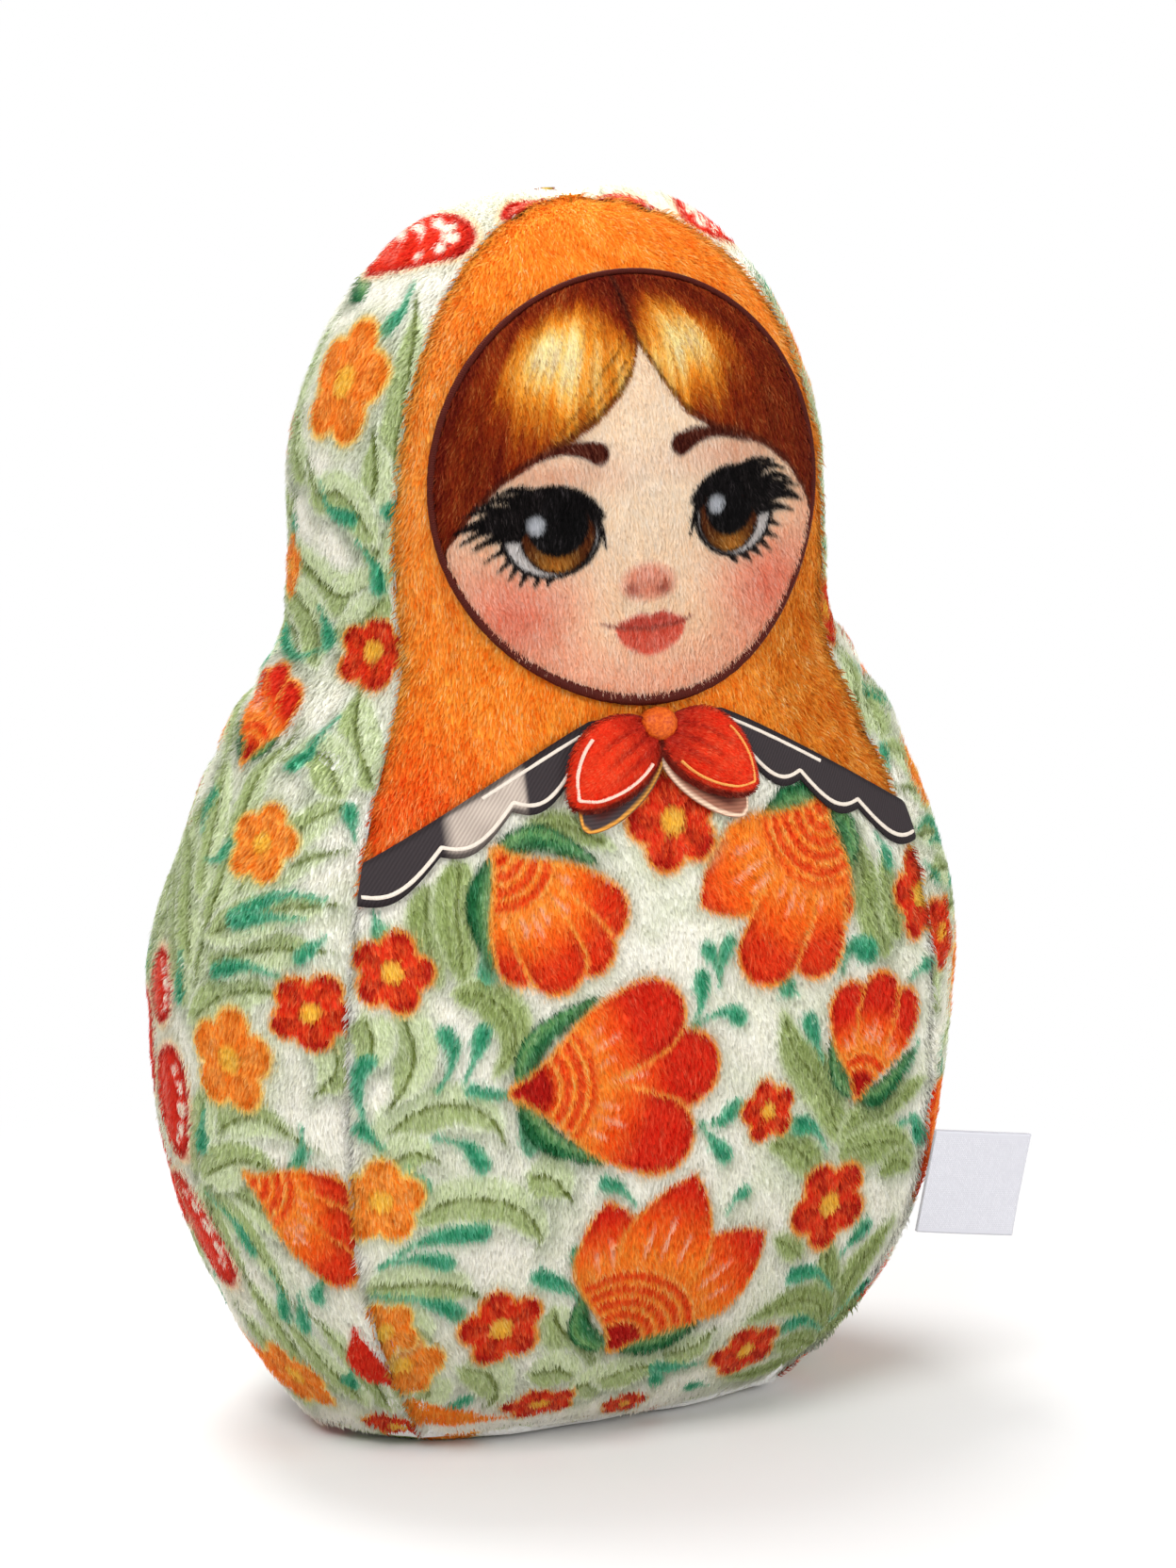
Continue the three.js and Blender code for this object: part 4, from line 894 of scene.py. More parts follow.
def paint_eye(ink, centre, glint, side, lashes, lower):
    """One eye. side is -1 where the outer corner is on the viewer's left and 1 on the right."""
    cu, cv = centre
    u, v = ink.places.T
    for path in lower:
        ink.stroke(path, 2.1, "#1a1212", "lash", 0.4)
    at = ink.within((cu - 16, cv - 14), (cu + 16, cv + 14))
    x, y = (u[at] - cu) * side, v[at] - cv
    ball = 1 - np.hypot((x - 1.6) / 11.6, y / 10.2)
    ink.lay(at, fade(ball, 0.05), "#171112")
    white = fade(1 - np.hypot((x - 1.5) / 10.3, (y + 0.4) / 8.9), 0.06)
    ink.lay(at, white, "#d6d0cd")
    iris = np.hypot(x, y + 0.4)
    ink.lay(at, fade(8.7 - iris, 0.5), "#1c0e09")
    ring = fade(8.0 - iris, 0.6)
    ink.lay(at, ring, "#6a3312")
    ink.lay(at, ring * bell_curve(np.hypot(x - 0.6, y + 8.2), 0, 4.6), "#d9943c")
    rays = 0.5 + 0.5 * np.cos(np.arctan2(y + 0.4, x) * 30)
    ink.lay(at, 0.35 * ring * rays, "#3f1c0a")
    ink.lay(at, fade(7.0 - np.hypot(x, y - 1.8), 0.6), "#100d0e")
    lid = fade(y - 1.4 - 0.012 * x ** 2, 1.0) * fade(1 - np.hypot((x - 0.9) / 12.3, y / 10.6), 0.05)
    ink.lay(at, lid * fade(np.hypot(x, (y - 1.0) * 1.02) - 7.2, 0.8), "#120e0f")
    ink.lay(at, fade(ball, 0.05) * fade(y - 4.6, 1.2), "#120e0f")
    wing = [(cu + side * 7.5, cv + 4.2), (cu + side * 15, cv + 3.0), (cu + side * 22.6, cv + 0.2)]
    ink.stroke(wing, 6.4, "#120d0d", "lash", 0.4)
    for path in lashes:
        ink.stroke(path, 3.4, "#120d0d", "lash", 0.4)
    corner = [(cu - side * 8.4, cv + 4), (cu - side * 10.2, cv - 1), (cu - side * 11, cv - 4.6)]
    ink.stroke(corner, 2.0, "#151010", "lash", 0.4)
    near = ink.within((glint[0] - 4, glint[1] - 4), (glint[0] + 4, glint[1] + 4))
    spot = np.hypot(u[near] - glint[0], v[near] - glint[1])
    ink.lay(near, fade(2.2 - spot, 0.7), "#a9abb0")
    ink.lay(near, 0.8 * fade(1.2 - spot, 1.0), "#d3d5da")


def face_print(places):
    ink = Print(places, "#f8e0c2")
    u, v = ink.places.T
    ink.lay(EVERY, 0.9 * bell_curve(u, 0, 20) * bell_curve(v, 228, 26), "#f7ead8")
    ink.lay(EVERY, 0.6 * fade(np.hypot(u / 50, (v - 223) / 48) - 0.84, 0.3), "#efb596")
    ink.lay(EVERY, 0.45 * fade(188 - v, 12), "#ecaf92")
    for cu, cv, spread in ((-31, 198, 13.5), (31.5, 199.5, 13.5)):
        ink.lay(EVERY, 0.72 * np.exp(-((np.hypot(u - cu, (v - cv) * 1.2) / spread) ** 2)), "#ea7d60")
    for cu, cv in ((-24, 228), (23, 230)):
        ink.lay(EVERY, 0.55 * bell_curve(u, cu, 15) * bell_curve(v, cv, 4.5), "#deaa90")
    nose = 1 - np.hypot((u + 0.8) / 6.0, (v - 203.4) / 3.8)
    ink.lay(EVERY, 0.75 * fade(nose, 0.6), "#e58f70")
    for cu in (-4.6, 2.9):
        ink.lay(EVERY, 0.7 * np.exp(-((np.hypot((u - cu) / 1.8, (v - 201.8) / 1.4)) ** 2)), "#b04a3c")
    ink.lay(EVERY, 0.45 * bell_curve(np.hypot(u + 0.8, v - 205), 0, 2.2), "#f2c7b6")
    paint_hair(ink)
    paint_eye(ink, (-21.8, 215.6), (-26.7, 217.4), -1, LASHES_LEFT, LOWER_LEFT)
    paint_eye(ink, (20.6, 217.0), (16.8, 219.2), 1, LASHES_RIGHT, LOWER_RIGHT)
    ink.stroke([(-12, 232.4), (-16, 233.5), (-21, 233.3), (-30, 230)], 5.0, "#5a2113", "lash", 0.7)
    ink.stroke([(8, 233.2), (12.5, 234.8), (18, 234.8), (27, 232)], 5.0, "#5a2113", "lash", 0.7)
    mouth = np.interp(u, (-12, -8, -4, -0.8, 2.5, 7, 10.4), (194.6, 193.6, 193.2, 192.8, 193.3, 193.8, 195))
    bow = np.interp(u, (-9.5, -6, -3, -0.4, 2.2, 5.5, 8.6), (193.9, 195.4, 196.4, 195.8, 196.8, 195.6, 194.2))
    bottom = mouth - 5.9 * np.sqrt(np.maximum(0, 1 - ((u + 0.3) / 8.6) ** 2))
    ink.lay(EVERY, 0.92 * fade(v - mouth, 0.5) * fade(bow - v, 0.9), "#d24c3c")
    ink.lay(EVERY, 0.92 * fade(mouth - v, 0.5) * fade(v - bottom, 1.0) * (np.abs(u + 0.3) < 8.6), "#e25f46")
    ink.lay(EVERY, 0.5 * bell_curve(u, -0.5, 4) * bell_curve(v, 190, 1.5), "#e88a74")
    ink.lay(EVERY, 0.75 * fade(0.35 - np.abs(v - mouth), 0.5) * fade(u + 12, 2) * fade(10.4 - u, 2),
            "#963a31")
    return ink.rgb


# Mesh making
def add_object(name, body, materials, vertices, faces, smooth=True):
    """faces is a list of index arrays, each with all its faces of one size."""
    mesh = bpy.data.meshes.new(name)
    faces = [np.asarray(block) for block in faces if len(block)]
    totals = np.concatenate([np.full(len(block), block.shape[1]) for block in faces])
    corners = np.concatenate([block.ravel() for block in faces])
    mesh.vertices.add(len(vertices))
    mesh.vertices.foreach_set("co", (np.asarray(vertices) * MM).astype(np.float32).ravel())
    mesh.loops.add(len(corners))
    mesh.loops.foreach_set("vertex_index", corners.astype(np.int32))
    mesh.polygons.add(len(totals))
    mesh.polygons.foreach_set("loop_start", np.concatenate([[0], np.cumsum(totals)[:-1]]).astype(np.int32))
    mesh.update(calc_edges=True)
    if smooth:
        mesh.polygons.foreach_set("use_smooth", np.ones(len(totals), bool))
    for material in materials:
        mesh.materials.append(material)
    piece = bpy.data.objects.new(name, mesh)
    bpy.context.scene.collection.objects.link(piece)
    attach(piece, body)
    return piece


def dye(piece, rgb):
    colours = piece.data.color_attributes.new("print", "FLOAT_COLOR", "POINT")
    colours.data.foreach_set("color", np.column_stack([rgb, np.ones(len(rgb))]).astype(np.float32).ravel())


def lay_flat(piece, places, name="flat"):
    """A UV map in metres of flat cloth, from one flat place per vertex."""
    mesh = piece.data
    corner = np.empty(len(mesh.loops), np.int32)
    mesh.loops.foreach_get("vertex_index", corner)
    layer = mesh.uv_layers.new(name=name)
    layer.data.foreach_set("uv", np.asarray(places)[corner].astype(np.float32).ravel())


def quads(rows, columns, start=0, closed=False):
    i, j = np.meshgrid(np.arange(rows - 1), np.arange(columns if closed else columns - 1), indexing="ij")
    a, b = i * columns + j, i * columns + (j + 1) % columns
    return start + np.stack([a, b, b + columns, a + columns], -1).reshape(-1, 4)


def shell(outer, inner, turned):
    """Vertices and faces of a closed sheet between two grids."""
    rows, columns = outer.shape[:2]
    count = rows * columns
    vertices = np.concatenate([outer.reshape(-1, 3), inner.reshape(-1, 3)])
    top, under = quads(rows, columns), quads(rows, columns, count)[:, ::-1]
    number = np.arange(count).reshape(rows, columns)
    loop = np.concatenate([number[0, :-1], number[:-1, -1], number[-1, :0:-1], number[:0:-1, 0]])
    following = np.roll(loop, -1)
    rim = np.stack([following, loop, loop + count, following + count], -1)
    faces = np.concatenate([top, under, rim])
    return vertices, faces[:, ::-1] if turned else faces


def cloth_piece(name, cloth, paint, turned):
    """A sheet of the ground knit under a pile. Its colour is darkened as painted crease shade into the seams
    and towards its lowest edge.
    """
    inner = cloth.surface - cloth.normals * GROUND_PLY
    vertices, faces = shell(cloth.surface, inner, turned)
    piece = add_object(name, "doll", [knit_ground], vertices, [faces])
    height = cloth.surface[..., 2] - cloth.surface[..., 2].min()
    seam = np.minimum(cloth.edge, np.where(cloth.edge < FAR, height, FAR)).reshape(-1, 1)
    # Painted shade: within a few mm of a seam or of the panel's lowest edge the print is darkened, as a
    # crease's shadow.
    rgb = paint(cloth.flat.reshape(-1, 2)) * (1 - 0.55 * bell_curve(seam, 0, 1.6))
    dye(piece, np.concatenate([rgb, rgb * 0.8]))
    flat = cloth.flat.reshape(-1, 2) * MM
    lay_flat(piece, np.concatenate([flat, flat]))
    return piece


def sow(cloth, density, rng, keep):
    """Root places of the pile: (place, normal, along, flat, flare), spread evenly over the cloth by area."""
    middle = (cloth.flat[:-1, :-1] + cloth.flat[1:, 1:]) / 2
    wanted = np.where(keep(middle), cell_areas(cloth.surface) * density, 0)
    count = np.floor(wanted + rng.random(wanted.shape)).astype(int)
    i, j = np.nonzero(count)
    i, j = np.repeat(i, count[i, j]), np.repeat(j, count[i, j])
    x, y = rng.random((2, len(i), 1))

    def mixed(grid):
        low = grid[i, j] * (1 - x) + grid[i, j + 1] * x
        return low * (1 - y) + (grid[i + 1, j] * (1 - x) + grid[i + 1, j + 1] * x) * y

    grids = (cloth.surface, cloth.normals, cloth.along, cloth.flat, cloth.flare)
    place, normal, along, flat, flare = (mixed(grid) for grid in grids)
    return place, unit(normal), along, flat, flare


TUFT_WIDTH, TUFT_LENGTH = 1.2, 3.0


def grow_pile(name, cloth, paint, keep, seed,
              density=3.3, length=2.5, width=0.32, lean=68, swirl=17, contrast=0.34):
    """Pile of bent blades on a cloth, density to the square mm, where keep holds. They lean some degrees
    along the nap, drift in soft swirls and gather in tufts. Their middles and tips are painted lighter than
    their roots and blades near seams darker, as painted light and shade. contrast is how much their colour
    varies at random and, as painted shade, how much darker the blades towards the gaps between tufts are."""
    rng = np.random.default_rng(seed)
    root, normal, along, flat, flare = sow(cloth, density, rng, keep)
    n = len(root)
    nap = unit(along - normal * (along * normal).sum(1, keepdims=True))
    side = np.cross(normal, nap)
    drift = swirl * lumps(flat, 17.0, seed + 3) + 0.9 * swirl * lumps(flat, 5.0, seed + 4)
    turn = np.radians(drift + rng.normal(0, 9, n))[:, None]
    lie = unit(nap * np.cos(turn) + side * np.sin(turn) + cloth.outward * flare)
    near_seam = np.linalg.norm(flare, axis=1, keepdims=True)
    tilt = lean + 8 * lumps(flat, 8.0, seed + 5) + rng.normal(0, 6, n)
    first, last = np.radians(tilt - 22)[:, None], np.radians(np.minimum(tilt + 16, 84))[:, None]
    size = (length * (1 + 0.12 * lumps(flat, 4.0, seed + 6)) * rng.uniform(0.78, 1.12, n))[:, None]
    size = size * (1 - cloth.trim * near_seam)
    middle = root + size * 0.5 * (normal * np.cos(first) + lie * np.sin(first))
    tip = middle + size * 0.5 * (normal * np.cos(last) + lie * np.sin(last))
    strewn = flat + 0.5 * np.stack([lumps(flat, 2.6, seed + 8), lumps(flat, 2.6, seed + 9)], -1)
    column = strewn[:, 0] / TUFT_WIDTH + 0.37 * np.floor(strewn[:, 1] / TUFT_LENGTH)
    pull = (np.floor(column) + 0.5 - column) * TUFT_WIDTH
    tip = tip + side * cloth.hand * pull[:, None] * 0.5
    broad = unit(np.cross(lie, normal) + normal * rng.normal(0, 0.35, (n, 1))) * (width / 2)
    spread = broad * rng.uniform(0.75, 1.2, (n, 1))
    vertices = np.stack([root - spread, root + spread, middle + spread * 0.9, middle - spread * 0.9, tip], 1)
    start = np.arange(n)[:, None] * 5
    faces = [start + (0, 1, 2, 3), start + (3, 2, 4)]
    piece = add_object(name, "doll", [plush_pile], vertices.reshape(-1, 3), faces)
    flow = np.concatenate([np.sin(turn) * cloth.hand, -np.cos(turn)], 1) * size
    low_ink, tip_ink = paint(flat + flow * 0.38), paint(flat + flow * 0.8)
    # Painted light and shade: each blade's middle is painted 5% and its tip 10% lighter than its root,
    # standing for the shade deep in the pile.
    rgb = np.stack([low_ink, low_ink, low_ink * 1.05, low_ink * 1.05, tip_ink * 1.1], 1)
    # Painted shade: blades close to a seam are darkened, as if in the crease's shadow.
    rgb = rgb * (1 - 0.3 * near_seam ** 2)[:, None]
    # Each blade varies in tone at random; as painted shade, blades towards the gaps between tufts are darker.
    gap = 2 * np.abs(pull) / TUFT_WIDTH
    vary = 0.6 * rng.uniform(-1, 1, n) + 0.5 * lumps(flat * (1, 0.4), 1.1, seed + 7)
    depth = 1 + contrast * (vary + 0.9 * (gap - 0.5))
    dye(piece, (np.clip(rgb, 0, 1) ** depth[:, None, None]).reshape(-1, 3))
    spot = flat[:, None] + flow[:, None] * np.array([0, 0, 0.45, 0.45, 0.85])[None, :, None]
    spot[:, [0, 3], 0] -= width / 2
    spot[:, [1, 2], 0] += width / 2
    spot = spot.reshape(-1, 2)
    low = spot.min(0)
    lay_flat(piece, (spot - low) / (spot.max(0) - low).max(), "OFBake")
    soft = unit(normal + lie * 0.15 + rng.normal(0, 0.12, (n, 3)))
    facing = np.repeat(soft[:, None], 5, 1)
    facing[:, 4] = unit(soft + lie * 0.12)
    normals = piece.data.attributes.new("custom_normal", "FLOAT_VECTOR", "POINT")
    normals.data.foreach_set("vector", facing.astype(np.float32).ravel())
    return piece


# Materials
def add(material, kind, inputs=(), **settings):
    """Adds a node. Inputs go by socket name or number, each a value or the output that feeds it."""
    made = material.node_tree.nodes.new("ShaderNode" + kind)
    for key, value in settings.items():
        setattr(made, key, value)
    for key, value in dict(inputs).items():
        if isinstance(value, bpy.types.NodeSocket):
            material.node_tree.links.new(value, made.inputs[key])
        else:
            made.inputs[key].default_value = value
    return made


def new_material(name, **sockets):
    material = bpy.data.materials.new(name)
    material.use_nodes = True
    surface = material.node_tree.nodes["Principled BSDF"]
    for key, value in sockets.items():
        surface.inputs[key.replace("_", " ")].default_value = value
    return material, surface


def link(material, output, socket):
    material.node_tree.links.new(output, socket)


def show(material, shader):
    link(material, shader.outputs["Shader"], material.node_tree.nodes["Material Output"].inputs["Surface"])


def noise(material, size, **more):
    """A noise pattern fixed to the piece, with grains of a size in mm."""
    place = add(material, "TexCoord")
    inputs = {"Vector": place.outputs["Object"], "Scale": 1 / (size * MM), **more}
    return add(material, "TexNoise", inputs).outputs["Fac"]


def waves(material, vector, pitch, **more):
    """Stripes that are pitch mm apart. A wave texture of scale 1 repeats every pi units."""
    return add(material, "TexWave",
               {"Vector": vector, "Scale": 1 / (pitch * MM * math.pi), **more}).outputs["Fac"]


def levels(material, pattern, low, high, start=0.0, end=1.0):
    ends = {"From Min": start, "From Max": end, "To Min": low, "To Max": high}
    return add(material, "MapRange", {"Value": pattern, **ends}).outputs["Result"]


def tint_print(material, surface, level):
    """The piece's own print, made darker and lighter by a level."""
    ink = add(material, "Attribute", attribute_name="print")
    tint = add(material, "VectorMath", {0: ink.outputs["Color"], 1: level}, operation="MULTIPLY").outputs[0]
    link(material, tint, surface.inputs["Base Color"])
    return tint


def two_tone(material, surface, share, low, high):
    """The surface runs from one colour to another. Each is an RGB triple or an output."""
    ends = [colour if isinstance(colour, bpy.types.NodeSocket) else (*colour, 1) for colour in (low, high)]
    shade = add(material, "Mix", {0: share, 6: ends[0], 7: ends[1]}, data_type="RGBA")
    link(material, shade.outputs[2], surface.inputs["Base Color"])


def emboss(material, surface, height, strength, depth, sunk=False):
    relief = add(material, "Bump", {"Height": height, "Strength": strength, "Distance": depth * MM},
                 invert=sunk)
    link(material, relief.outputs["Normal"], surface.inputs["Normal"])


# Polyester plush, heat-printed on white, with a soft sheen on the bend of each blade
plush_pile, surface = new_material("printed_polyester_pile", Specular_IOR_Level=0.14, Sheen_Weight=0.05,
                                   Sheen_Roughness=0.4)
strands = noise(plush_pile, 1.3, Detail=2.0)
tint = tint_print(plush_pile, surface, levels(plush_pile, strands, 0.93, 1.06, 0.3, 0.7))
link(plush_pile, levels(plush_pile, strands, 0.62, 0.82), surface.inputs["Roughness"])
through = add(plush_pile, "BsdfTranslucent", {"Color": tint})
fibre = add(plush_pile, "MixShader", {0: 0.5, 1: surface.outputs["BSDF"], 2: through.outputs["BSDF"]})
show(plush_pile, fibre)

# Warp-knitted ground of the plush: matt stitches, a little darker than the print, under the pile
knit_ground, surface = new_material("warp_knitted_ground", Roughness=0.9, Specular_IOR_Level=0.2)
flat_map = add(knit_ground, "UVMap", uv_map="flat")
WALE = 0.9  # mm between stitch columns
wales = waves(knit_ground, flat_map.outputs["UV"], WALE, Distortion=1.5, Detail=2.0)
tint_print(knit_ground, surface, levels(knit_ground, wales, 0.92, 1.0))
emboss(knit_ground, surface, wales, 0.5, 0.2)


# The stuffed cover: its sewn panels swell between the seams as cloth under the filling's pressure
SWELL_STEPS, SWELL_CAP, SWELL_FRAMES = 28, 2.0, 20
SWELL_EASE = 0.03  # how much longer the cloth is than the form


def evened(moves, times=3):
    """Moves without their finest ripples, which the thick pile would hide."""
    for _ in range(2 * times):
        moves = np.concatenate([moves[:1], (moves[:-2] + 2 * moves[1:-1] + moves[2:]) / 4, moves[-1:]])
        moves = moves.swapaxes(0, 1)
    return moves


def swollen_cover():
    """Moves of the front, gusset and back on coarse grids, from a cloth simulation with held seams."""
    t = np.linspace(-1, 1, SWELL_STEPS + 1)[None, :]
    rise = np.linspace(0, 1, 2 * SWELL_STEPS + 1)[:, None]
    round_it = np.linspace(-1, 1, 4 * SWELL_STEPS + 1)[:, None] + 0 * t
    fore = settle(front_points(np.maximum(rise, CROWN_START), t))
    side = settle(gusset_points(round_it, t + 0 * round_it))
    grids = [fore, side, fore * (1, -1, 1)]
    ring = np.concatenate([fore[-1, :-1], side[-1, :-1], fore[-1, :0:-1] * (1, -1, 1), side[0, :0:-1]])
    inward = np.linspace(1, 0.02, 8)[:, None, None] * (1, 1, 0)
    sole = np.concatenate([ring, ring[:1]])[None] * inward + (0, 0, ring[0, 2])
    blocks, start = [], 0
    for grid in grids + [sole]:
        blocks.append(quads(*grid.shape[:2], start))
        start += grid[..., 0].size
    mesh = bpy.data.meshes.new("swelling")
    places = np.concatenate([g.reshape(-1, 3) for g in grids + [sole]]) * MM
    mesh.from_pydata(places.tolist(), [], np.concatenate(blocks).tolist())
    form = bmesh.new()
    form.from_mesh(mesh)
    bmesh.ops.remove_doubles(form, verts=form.verts, dist=0.3 * MM)
    bmesh.ops.recalc_face_normals(form, faces=form.faces)
    form.to_mesh(mesh)
    form.free()
    cover = bpy.data.objects.new("swelling", mesh)
    bpy.context.scene.collection.objects.link(cover)
    rest = np.array([v.co[:] for v in mesh.vertices])
    tree = kdtree.KDTree(len(rest))
    for k, place in enumerate(rest):
        tree.insert(place, k)
    tree.balance()
    edges = [np.concatenate([g[0], g[-1], g[:, 0], g[:, -1]]) for g in grids] + [sole.reshape(-1, 3)]
    sewn = cover.vertex_groups.new(name="sewn")
    sewn.add(sorted({tree.find(place)[1] for place in np.concatenate(edges) * MM}), 1.0, "REPLACE")
    cloth = cover.modifiers.new("cloth", "CLOTH")
    knit = cloth.settings
    knit.quality, knit.mass, knit.bending_stiffness = 4, 0.02, 0.1
    knit.tension_stiffness = knit.compression_stiffness = 15
    knit.shrink_min = knit.shrink_max = -SWELL_EASE
    knit.use_pressure, knit.uniform_pressure_force = True, 4.0
    knit.effector_weights.gravity = 0
    knit.vertex_group_mass = "sewn"
    cloth.point_cache.frame_start, cloth.point_cache.frame_end = 1, SWELL_FRAMES
    for frame_number in range(1, SWELL_FRAMES + 1):
        bpy.context.scene.frame_set(frame_number)
    held = cover.evaluated_get(bpy.context.evaluated_depsgraph_get()).to_mesh()
    move = (np.array([v.co[:] for v in held.vertices]) - rest) / MM
    bpy.data.objects.remove(cover)
    bpy.context.scene.frame_set(1)
    far = np.linalg.norm(move, axis=1, keepdims=True)
    move = move * SWELL_CAP / (SWELL_CAP + far)
    found = [[tree.find(place)[1] for place in g.reshape(-1, 3) * MM] for g in grids]
    return [evened(move[numbers].reshape(g.shape)) for numbers, g in zip(found, grids)]


def spread_over(moves, shape):
    """A coarse grid of moves on a finer grid of the same panel."""
    for axis in (1, 0):
        here, wanted = np.linspace(0, 1, moves.shape[axis]), np.linspace(0, 1, shape[axis])
        moves = np.apply_along_axis(lambda row: np.interp(wanted, here, row), axis, moves)
    return moves


for cloth, moves in zip((front, gusset, back), swollen_cover()):
    swell = (spread_over(moves, cloth.places.shape) * cloth.normals).sum(-1)
    cloth.sink(0.7 * (0.4 * (1 - np.exp(-cloth.edge / 8)) - swell))

front_piece = cloth_piece("front_cloth", front, front_print, True)
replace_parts(front_piece, "front_panel")
back_piece = cloth_piece("back_cloth", back, back_print, False)
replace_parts(back_piece, "back_panel")
gusset_piece = cloth_piece("gusset_cloth", gusset, gusset_print, False)
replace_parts(gusset_piece, "side_gusset")


def base_cloth():
    """The roll and the pressed sole as one closed sheet."""
    roll = base.surface[:, :-1]
    sole = roll[-1][None] * (1, 1, 0) * np.linspace(0.94, 0.06, 16)[:, None, None] + (0, 0, SOLE_Z)
    outer = np.concatenate([roll, sole])
    inner = outer - np.concatenate([base.normals[:, :-1], 0 * sole + (0, 0, -1)]) * GROUND_PLY
    rows, columns = outer.shape[:2]
    count = rows * columns
    middle = [(0, 0, SOLE_Z), (0, 0, SOLE_Z + GROUND_PLY)]
    vertices = np.concatenate([outer.reshape(-1, 3), inner.reshape(-1, 3), middle])
    top, under = quads(rows, columns, 0, True), quads(rows, columns, count, True)[:, ::-1]
    ring = np.arange(columns)
    following = np.roll(ring, -1)
    rim = np.stack([following, ring, ring + count, following + count], -1)
    last = ring + (rows - 1) * columns
    fan = np.stack([last, np.roll(last, -1), 0 * last + 2 * count], -1)
    fan_in = np.stack([np.roll(last, -1) + count, last + count, 0 * last + 2 * count + 1], -1)
    faces = [np.concatenate([top, under, rim]), np.concatenate([fan, fan_in])]
    piece = add_object("base_cloth", "doll", [knit_ground], vertices, faces)
    row = np.concatenate([np.tile(np.repeat(np.arange(rows), columns), 2), [FAR, FAR]])
    # Painted shade: the base's first rows by the seam, next to the floor, are darkened down to a fifth as a
    # contact shadow.
    dye(piece, base_print(vertices[:, :2]) * (0.2 + 0.8 * np.minimum(row / RIM_ROWS, 1))[:, None])
    lay_flat(piece, vertices[:, :2] * MM)
    return piece, np.concatenate([outer, outer[:, :1]], 1)


base_piece, base_grid = base_cloth()
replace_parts(base_piece, "base_panel")


def on_face(flat, grow=0.0):
    u, v = flat[..., 0] * 0.955, flat[..., 1] - FACE_CENTRE_Z
    return np.hypot(u / (FACE_HALF_WIDTH + grow), v / (np.where(v > 0, FACE_RISE, FACE_DROP) + grow)) < 1


def on_scarf(flat):
    return flat[..., 1] > scarf_edge(flat[..., 0]) + 2.2 * np.clip(np.abs(flat[..., 0]) / 12, 0, 1)


scarf_pile = grow_pile("scarf_pile", front, front_print,
                       lambda f: on_scarf(f) & ~on_face(f, 0.5),
                       101, contrast=0.52)
belly_pile = grow_pile("belly_pile", front, front_print, lambda f: ~on_scarf(f),
                       102, density=2.7, width=0.34)
gusset_right = grow_pile("gusset_pile_right", gusset, gusset_print, lambda f: f[..., 1] < 0,
                         103, density=2.6, width=0.34)
gusset_left = grow_pile("gusset_pile_left", gusset, gusset_print, lambda f: f[..., 1] >= 0,
                        104, density=2.6, width=0.34)
back_pile = grow_pile("back_pile", back, back_print, lambda f: f[..., 1] < CROWN_Z - 0.5,
                      105, density=1.7, width=0.42)
base_ring = base.places[0, :-1, :2]


def under_base(flat):
    """Places on the base more than 3 mm inside its seam."""
    bearing = np.arctan2(base_ring[:, 1], base_ring[:, 0])
    radius = np.hypot(base_ring[:, 0], base_ring[:, 1])
    reach = np.interp(np.arctan2(flat[..., 1], flat[..., 0]), bearing, radius, period=2 * math.pi)
    return np.hypot(flat[..., 0], flat[..., 1]) < reach - 3


base_pile = grow_pile("base_pile", base, base_print, under_base,
                      106, density=2.0, length=1.2, width=0.36, lean=80)

# The face: a short, dense pile on its own oval of cloth
face_piece = cloth_piece("face_cloth", face, face_print, False)
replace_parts(face_piece, "face_patch")
face_pile = grow_pile("face_pile", face, face_print, lambda f: f[..., 1] > 0,
                      107, density=6.5, length=2.0, width=0.23, lean=66, swirl=20, contrast=0.4)


# What each cloth piece was cut to, in metres
def grid_area(grid):
    return cell_areas(grid).sum() * MM * MM


def cut_size(grid):
    """Widest row and longest column of a panel, measured along the cloth."""
    rows = np.linalg.norm(np.diff(grid, axis=1), axis=2).sum(1)
    columns = np.linalg.norm(np.diff(grid, axis=0), axis=2).sum(0)
    return rows.max() * MM, columns.max() * MM


for piece, cloth, on_it in (
    (front_piece, front, [scarf_pile, belly_pile]),
    (back_piece, back, [back_pile]),
    (gusset_piece, gusset, [gusset_right, gusset_left]),
):
    cut_size(cloth.surface)
    grid_area(cloth.surface)
    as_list(on_it)
BASE_TURNING, FACE_TURNING = 3.0, 1.0  # cloth turned in all round
grid_area(base_grid)
face_width, face_height = (np.ptp(face.flat, axis=(0, 1)) + 2 * FACE_TURNING) * MM
grid_area(face.surface)


# Satin stitch: rows of thread laid side by side over a line, as real ridges
THREAD_PITCH = 0.5
THREAD_SECTION = [(-0.5, 0.0), (-0.47, 0.55), (-0.25, 0.92), (0, 1.0), (0.25, 0.92), (0.47, 0.55), (0.5, 0.0)]


def loft(name, material, rings, looped):
    """A closed tube through cross-sections, each a closed loop of points."""
    rows, columns = rings.shape[:2]
    first = np.arange(columns)[None]
    blocks = [quads(rows + looped, columns, 0, True) % (rows * columns)]
    if not looped:
        blocks += [first[:, ::-1], first + (rows - 1) * columns]
    return add_object(name, "doll", [material], rings.reshape(-1, 3), blocks)


